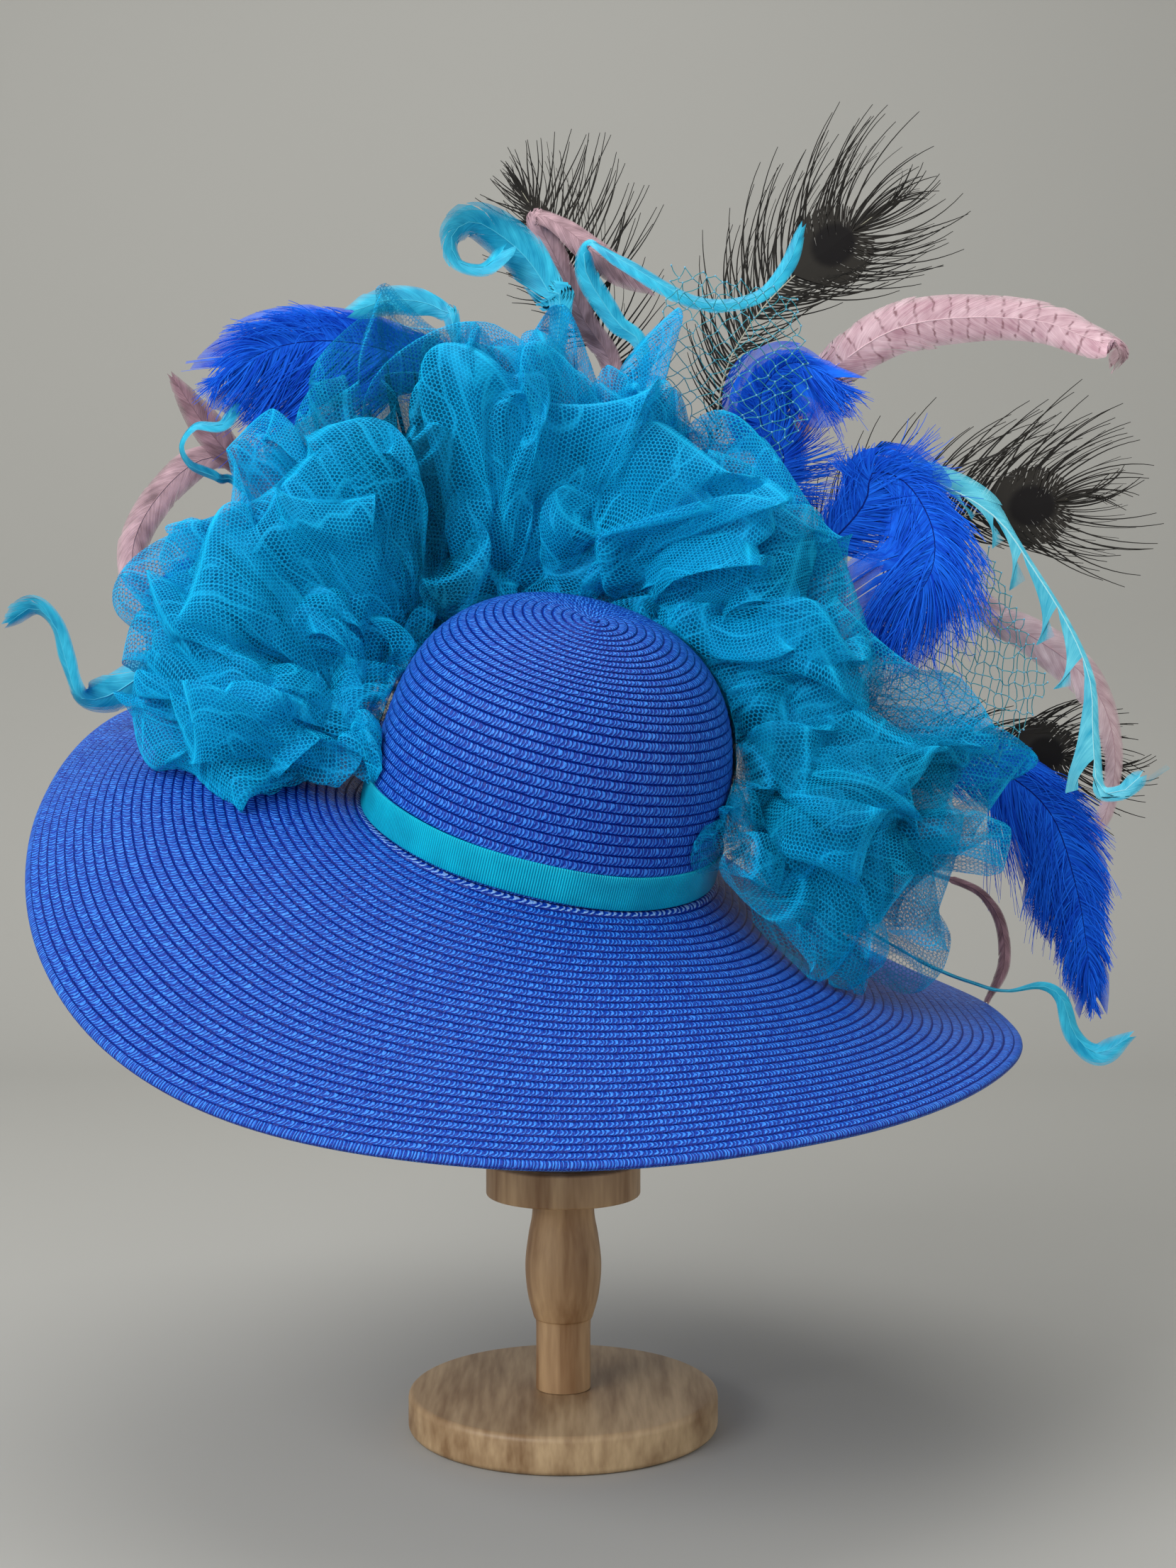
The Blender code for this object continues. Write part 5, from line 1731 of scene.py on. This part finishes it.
@dataclass
class Veils:
    """The knotted net behind the tulle."""

    swag: TulleSwag
    cell: float = 8.0
    thread: float = 0.27
    knot: float = 0.6
    stray: float = 0.9
    clear: float = 4.0
    nets: tuple[Net, ...] = (
        Net("veil_top", 0.635, (
            NetRow((46, 66, 414), (60, 66, 412), 0), NetRow((42, 63, 462), (96, 63, 458), 2),
            NetRow((42, 62, 520), (126, 62, 505), 4), NetRow((56, 62, 578), (120, 62, 562), 2))),
        Net("veil_side", 0.85, (
            NetRow((118, 52, 338), (124, 52, 326), 0), NetRow((158, 64, 376), (172, 60, 334), 1),
            NetRow((196, 73, 408), (222, 70, 320), 2),
            NetRow((222, 75, 434), (252, 72, 362), 1))),
    )

    def surface(self, net: Net, along: np.ndarray, across: np.ndarray) -> np.ndarray:
        """Points of a net's sheet.

        Args:
            net: the net.
            along: shares of the way from its root to its last row.
            across: shares of the way from its left edge to its right.

        Returns:
            World points.
        """
        root = self.swag.roll_centre(np.array([net.seat - 0.012, net.seat + 0.012]))
        rows = [(*root[0], *root[1], 0.0)]
        rows += [(*row.left, *row.right, row.bulge) for row in net.rows]
        values = curve_through(rows, along)
        points = values[..., :3] * (1 - across[..., None]) + values[..., 3:6] * across[..., None]
        bulge = values[..., 6] * np.sin(math.pi * np.clip(across, 0, 1))
        return points - np.array([0, 1.0, 0]) * bulge[..., None]

    def build(self, finish: bpy.types.Material) -> list[bpy.types.Object]:
        """Builds the nets.

        Args:
            finish: the thread's finish.

        Returns:
            The nets.
        """
        pieces = []
        for index, net in enumerate(self.nets):
            random = np.random.default_rng(300 + index)
            last = net.rows[-1]
            root = self.swag.roll_centre(np.array(net.seat))
            columns = 2 * round(np.linalg.norm(np.subtract(last.right, last.left)) / self.cell) + 2
            lines = 2 * round(np.linalg.norm(np.subtract(last.left, root)) / self.cell)
            along, across = np.meshgrid(np.linspace(0.16, 1, lines + 1),
                                        np.linspace(0, 1, columns + 1), indexing="ij")
            knots = self.surface(net, along, across)
            knots = knots + random.normal(0, self.stray, knots.shape)
            knots = self.swag.shape.lift_clear(knots, self.clear)
            mesh = PieceMesh()
            for row in range(lines + 1):
                for column in range(row % 2, columns + 1, 2):
                    self.add_knot(mesh, knots[row, column])
                    for aside in (-1, 1):
                        if row < lines and 0 <= column + aside <= columns:
                            self.add_thread(mesh, knots[row, column],
                                            knots[row + 1, column + aside], random)
            pieces.append(mesh.build(net.name + "_knotted", finish, "net", (net.name,)))
        return pieces

    def add_thread(
        self, mesh: PieceMesh, start: np.ndarray, end: np.ndarray, random: np.random.Generator
    ) -> None:
        """Adds one side of a mesh, a thread of three sides that bows a little.

        Args:
            mesh: the net's mesh.
            start: the knot that it leaves.
            end: the knot that it reaches.
            random: picks how it bows.
        """
        share = np.linspace(0, 1, 4)[:, None]
        line = start + (end - start) * share
        line = line + np.sin(math.pi * share) * random.normal(0, 0.5, 3)
        run = unit(end - start)
        first = unit(np.cross(run, np.array([0.3, -1.0, 0.2])))
        second = np.cross(run, first)
        turn = np.linspace(0, FULL_TURN, 4)[None, :, None]
        mesh.add_grids(line[:, None]
                       + self.thread * (np.cos(turn) * first + np.sin(turn) * second))

    def add_knot(self, mesh: PieceMesh, place: np.ndarray) -> None:
        """Adds one knot, a small bead.

        Args:
            mesh: the net's mesh.
            place: where the knot is.
        """
        rise = np.array([-1.0, -0.5, 0.5, 1.0])[:, None, None]
        turn = np.linspace(0, FULL_TURN, 6)[None, :, None]
        wide = np.sqrt(np.maximum(1 - rise**2, 0))
        ring = np.cos(turn) * np.array([1.0, 0, 0]) + np.sin(turn) * np.array([0, 1.0, 0])
        points = place + self.knot * (wide * ring + rise * np.array([0, 0, 1.0]))
        mesh.add_grids(points, tone=1.0)


@dataclass
class Stand:
    """The turned foot, post and disc, and the covered form that fills the crown.

    The post's profile lists radius and height between its two shoulders.
    """

    sides: int = 96
    base_radius: float = 75.0
    base_height: float = 18.0
    base_easing: float = 3.0
    disc_radius: float = 37.5
    disc_bottom: float = 112.0
    disc_top: float = 128.0
    disc_easing: float = 1.2
    dome_radius: float = 56.0
    dome_foot: float = 30.0
    dome_top: float = 397.4
    dome_fullness: float = 0.55
    gap: float = 0.3
    crisp_angle: float = 40.0
    neck: float = 13.25
    swell: tuple[tuple[float, float], ...] = (
        (13.25, 49.0), (14.4, 53.0), (17.3, 64.0), (18.5, 78.0), (17.0, 92.0), (15.2, 102.0),
    )
    head: float = 15.0

    def turned(
        self, name: str, profile: np.ndarray, finish: bpy.types.Material, slot: str, node: str
    ) -> bpy.types.Object:
        """A solid of revolution about the stand's axis.

        Args:
            name: the piece's name.
            profile: rows of radius and height, from the foot up.
            finish: its material.
            slot: the record's material slot.
            node: the solid that it stands for.

        Returns:
            The new piece.
        """
        profile = np.array([(0.0, profile[0][1]), *profile, (0.0, profile[-1][1])])
        turn = np.linspace(0, FULL_TURN, self.sides + 1)[None, :]
        radius = profile[:, :1]
        height = profile[:, 1:] + 0 * turn
        points = np.stack([radius * np.cos(turn), radius * np.sin(turn), height], axis=-1)
        mesh = PieceMesh()
        mesh.add_grids(points, turn * radius.max(), travelled(profile)[:, None])
        piece = mesh.build(name, finish, slot, (node,))
        piece.data.set_sharp_from_angle(angle=math.radians(self.crisp_angle))
        return piece

    @staticmethod
    def disc(radius: float, bottom: float, top: float, easing: float) -> list:
        """A disc's profile, its two edges eased round.

        Args:
            radius: its radius.
            bottom: its underside's height.
            top: its upper side's height.
            easing: its edges' radius.

        Returns:
            Rows of radius and height.
        """
        rows = []
        for height, start in ((bottom + easing, -90), (top - easing, 0)):
            for turn in np.radians(np.linspace(start, start + 90, 6)):
                rows.append((radius - easing + easing * math.cos(turn),
                             height + easing * math.sin(turn)))
        return rows

    def build(
        self, pine: bpy.types.Material, board: bpy.types.Material, canvas: bpy.types.Material
    ) -> list[bpy.types.Object]:
        """Builds the stand.

        Args:
            pine: the post's and disc's finish.
            board: the foot's finish.
            canvas: the form's cover.

        Returns:
            The foot, post, disc and form.
        """
        post = [(self.neck, self.base_height + self.gap), *self.swell,
                (self.head, self.disc_bottom - self.gap)]
        smooth = curve_through(post, np.linspace(0, 1, 50))
        foot = self.disc_top + self.gap
        middle = (foot + self.dome_top) / 2
        tall = (self.dome_top - foot) / 2
        dome = [(self.dome_foot, foot)]
        for turn in np.linspace(-math.pi / 2, math.pi / 2, 50)[3:-1]:
            wide = self.dome_radius * math.cos(turn) ** self.dome_fullness
            dome.append((wide, middle + tall * math.sin(turn)))
        base = self.disc(self.base_radius, 0.0, self.base_height, self.base_easing)
        disc = self.disc(self.disc_radius, self.disc_bottom, self.disc_top, self.disc_easing)
        return [
            self.turned("stand_foot_turned", base, board, "pine", "stand_base"),
            self.turned("stand_post_turned", smooth, pine, "pine", "stand_post"),
            self.turned("stand_disc_turned", disc, pine, "pine", "stand_disc"),
            self.turned("stand_form_covered", dome, canvas, "form", "stand_dome"),
        ]


@dataclass(frozen=True)
class Lamp:
    """A square soft light: its name, its place and size in metres, and its power in watts."""

    name: str
    place: Place
    size: float
    power: float


@dataclass
class Studio:
    """The pale floor and backdrop, the soft lights and the camera, in metres and pixels."""

    focal: float = 2930.0
    picture: tuple[int, int] = (1659, 2212)
    horizon: float = 1060.0
    eye: Place = (0.012, -1.010, 0.327)
    sensor: float = 36.0
    floor_front: float = -4.0
    floor_back: float = 1.1
    floor_side: float = 5.0
    bend: float = 0.5
    backdrop_top: float = 4.0
    aim: Place = (0.0, 0.02, 0.36)
    lamps: tuple[Lamp, ...] = (
        Lamp("key_light", (-1.3, -1.4, 1.45), 1.4, 40.0),
        Lamp("fill_light", (1.5, -1.2, 0.9), 1.6, 3.0),
        Lamp("top_light", (-0.1, 0.2, 2.0), 1.4, 16.0),
    )
    air: str = "#e6e6e4"
    air_strength: float = 0.64

    def camera(self) -> None:
        """Adds the camera, level, at the photograph's place, framed by a small shift."""
        data = bpy.data.cameras.new("camera")
        data.sensor_fit = "VERTICAL"
        data.sensor_height = self.sensor
        data.lens = self.focal * self.sensor / self.picture[1]
        data.shift_y = (self.horizon - self.picture[1] / 2) / self.picture[1]
        data.clip_start = 0.05
        data.clip_end = 20.0
        eye = bpy.data.objects.new("camera", data)
        eye.location = self.eye
        eye.rotation_euler = (math.radians(90), 0.0, 0.0)
        bpy.context.scene.collection.objects.link(eye)
        bpy.context.scene.camera = eye

    def sweep(self, paint: bpy.types.Material) -> None:
        """Adds the floor, curved up into a backdrop.

        Args:
            paint: its finish.
        """
        profile = [(self.floor_front, 0.0), (0.0, 0.0)]
        for turn in np.linspace(0, math.pi / 2, 12):
            profile.append((self.floor_back + self.bend * math.sin(turn),
                            self.bend * (1 - math.cos(turn))))
        profile.append((self.floor_back + self.bend, self.backdrop_top))
        points = [(x, y, z) for y, z in profile for x in (-self.floor_side, self.floor_side)]
        faces = [(2 * i, 2 * i + 1, 2 * i + 3, 2 * i + 2) for i in range(len(profile) - 1)]
        mesh = bpy.data.meshes.new("floor_and_backdrop")
        mesh.from_pydata(points, [], faces)
        mesh.shade_smooth()
        mesh.materials.append(paint)
        floor = bpy.data.objects.new("floor_and_backdrop", mesh)
        bpy.context.scene.collection.objects.link(floor)
        floor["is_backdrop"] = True

    def light(self, lamp: Lamp) -> None:
        """Adds a square soft light that points at the hat.

        Args:
            lamp: the light's place, size and power.
        """
        data = bpy.data.lights.new(lamp.name, "AREA")
        data.size = lamp.size
        data.energy = lamp.power
        light = bpy.data.objects.new(lamp.name, data)
        light.location = lamp.place
        aim = Vector(self.aim) - Vector(lamp.place)
        light.rotation_euler = aim.to_track_quat("-Z", "Y").to_euler()
        bpy.context.scene.collection.objects.link(light)

    def build(self, paint: bpy.types.Material) -> None:
        """Builds the studio.

        Args:
            paint: the floor's and backdrop's finish.
        """
        self.camera()
        self.sweep(paint)
        for lamp in self.lamps:
            self.light(lamp)
        world = bpy.data.worlds.new("studio_air")
        world.use_nodes = True
        fill(world.node_tree.nodes["Background"],
             {"Color": linear(self.air), "Strength": self.air_strength})
        bpy.context.scene.world = world
        bpy.context.scene.view_settings.view_transform = "Standard"


def main() -> None:
    """Builds the studio, the stand and the hat."""
    logging.basicConfig(level=logging.INFO, format="%(message)s")
    Studio().build(MattPaint("pale_matt_paint", "#a9a8a3").build())
    shape = HatShape()
    swag = TulleSwag(shape)
    board = TurnedPine("turned_pine_board", "#cdb088", "#836341", (1.0, 0.1, 0.35))
    Stand().build(TurnedPine().build(), board.build(), PlainCanvas().build())
    StrawHat(shape).build(PaperStraw().build())
    RibbonBand(shape).build(Grosgrain().build())
    swag.build(NylonTulle().build())
    finishes = {
        "ostrich": DyedFeather("ostrich_plume_dyed", "#0434b8", "#1f7aff", "#08247a", 0.7, 0.06),
        "turquoise": DyedFeather("coque_feather_dyed", "#0090ba", "#3fd0f0", "#4cc6e2", 0.4),
        "bright": DyedFeather("biot_feather_dyed", "#22a9cc", "#7fe6f6", "#b4f2fa", 0.4),
        "pink": DyedFeather("barred_feather_dyed", "#b58a97", "#f2d3db", "#e6c6cd", 0.45, 0.3,
                            bar="#74464f"),
        "pale": DyedFeather("pale_feather_dyed", "#b8939d", "#f6dde2", "#c7a2ab"),
        "mauve": DyedFeather("mauve_feather_dyed", "#7a5f66", "#dab4bd", "#a3838b"),
        "dusky": DyedFeather("dusky_feather_natural", "#5a3f47", "#ae8792", "#7d5c66"),
        "peacock": DyedFeather("peacock_feather", "#1a1917", "#2e2b27", "#b9b6a2", gloss=0.2,
                               eye="#120f10"),
    }
    Plumage(swag).build({slot: finish.build() for slot, finish in finishes.items()})
    Veils(swag).build(KnottedThread().build())
    boxes = {"cad": CAD_BOX, "visual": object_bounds()}
    plain = {name: [[float(v) for v in corner] for corner in box] for name, box in boxes.items()}
    for name, box in plain.items():
        LOG.info("%s box: %s", name, box)


if __name__ == "__main__":
    main()
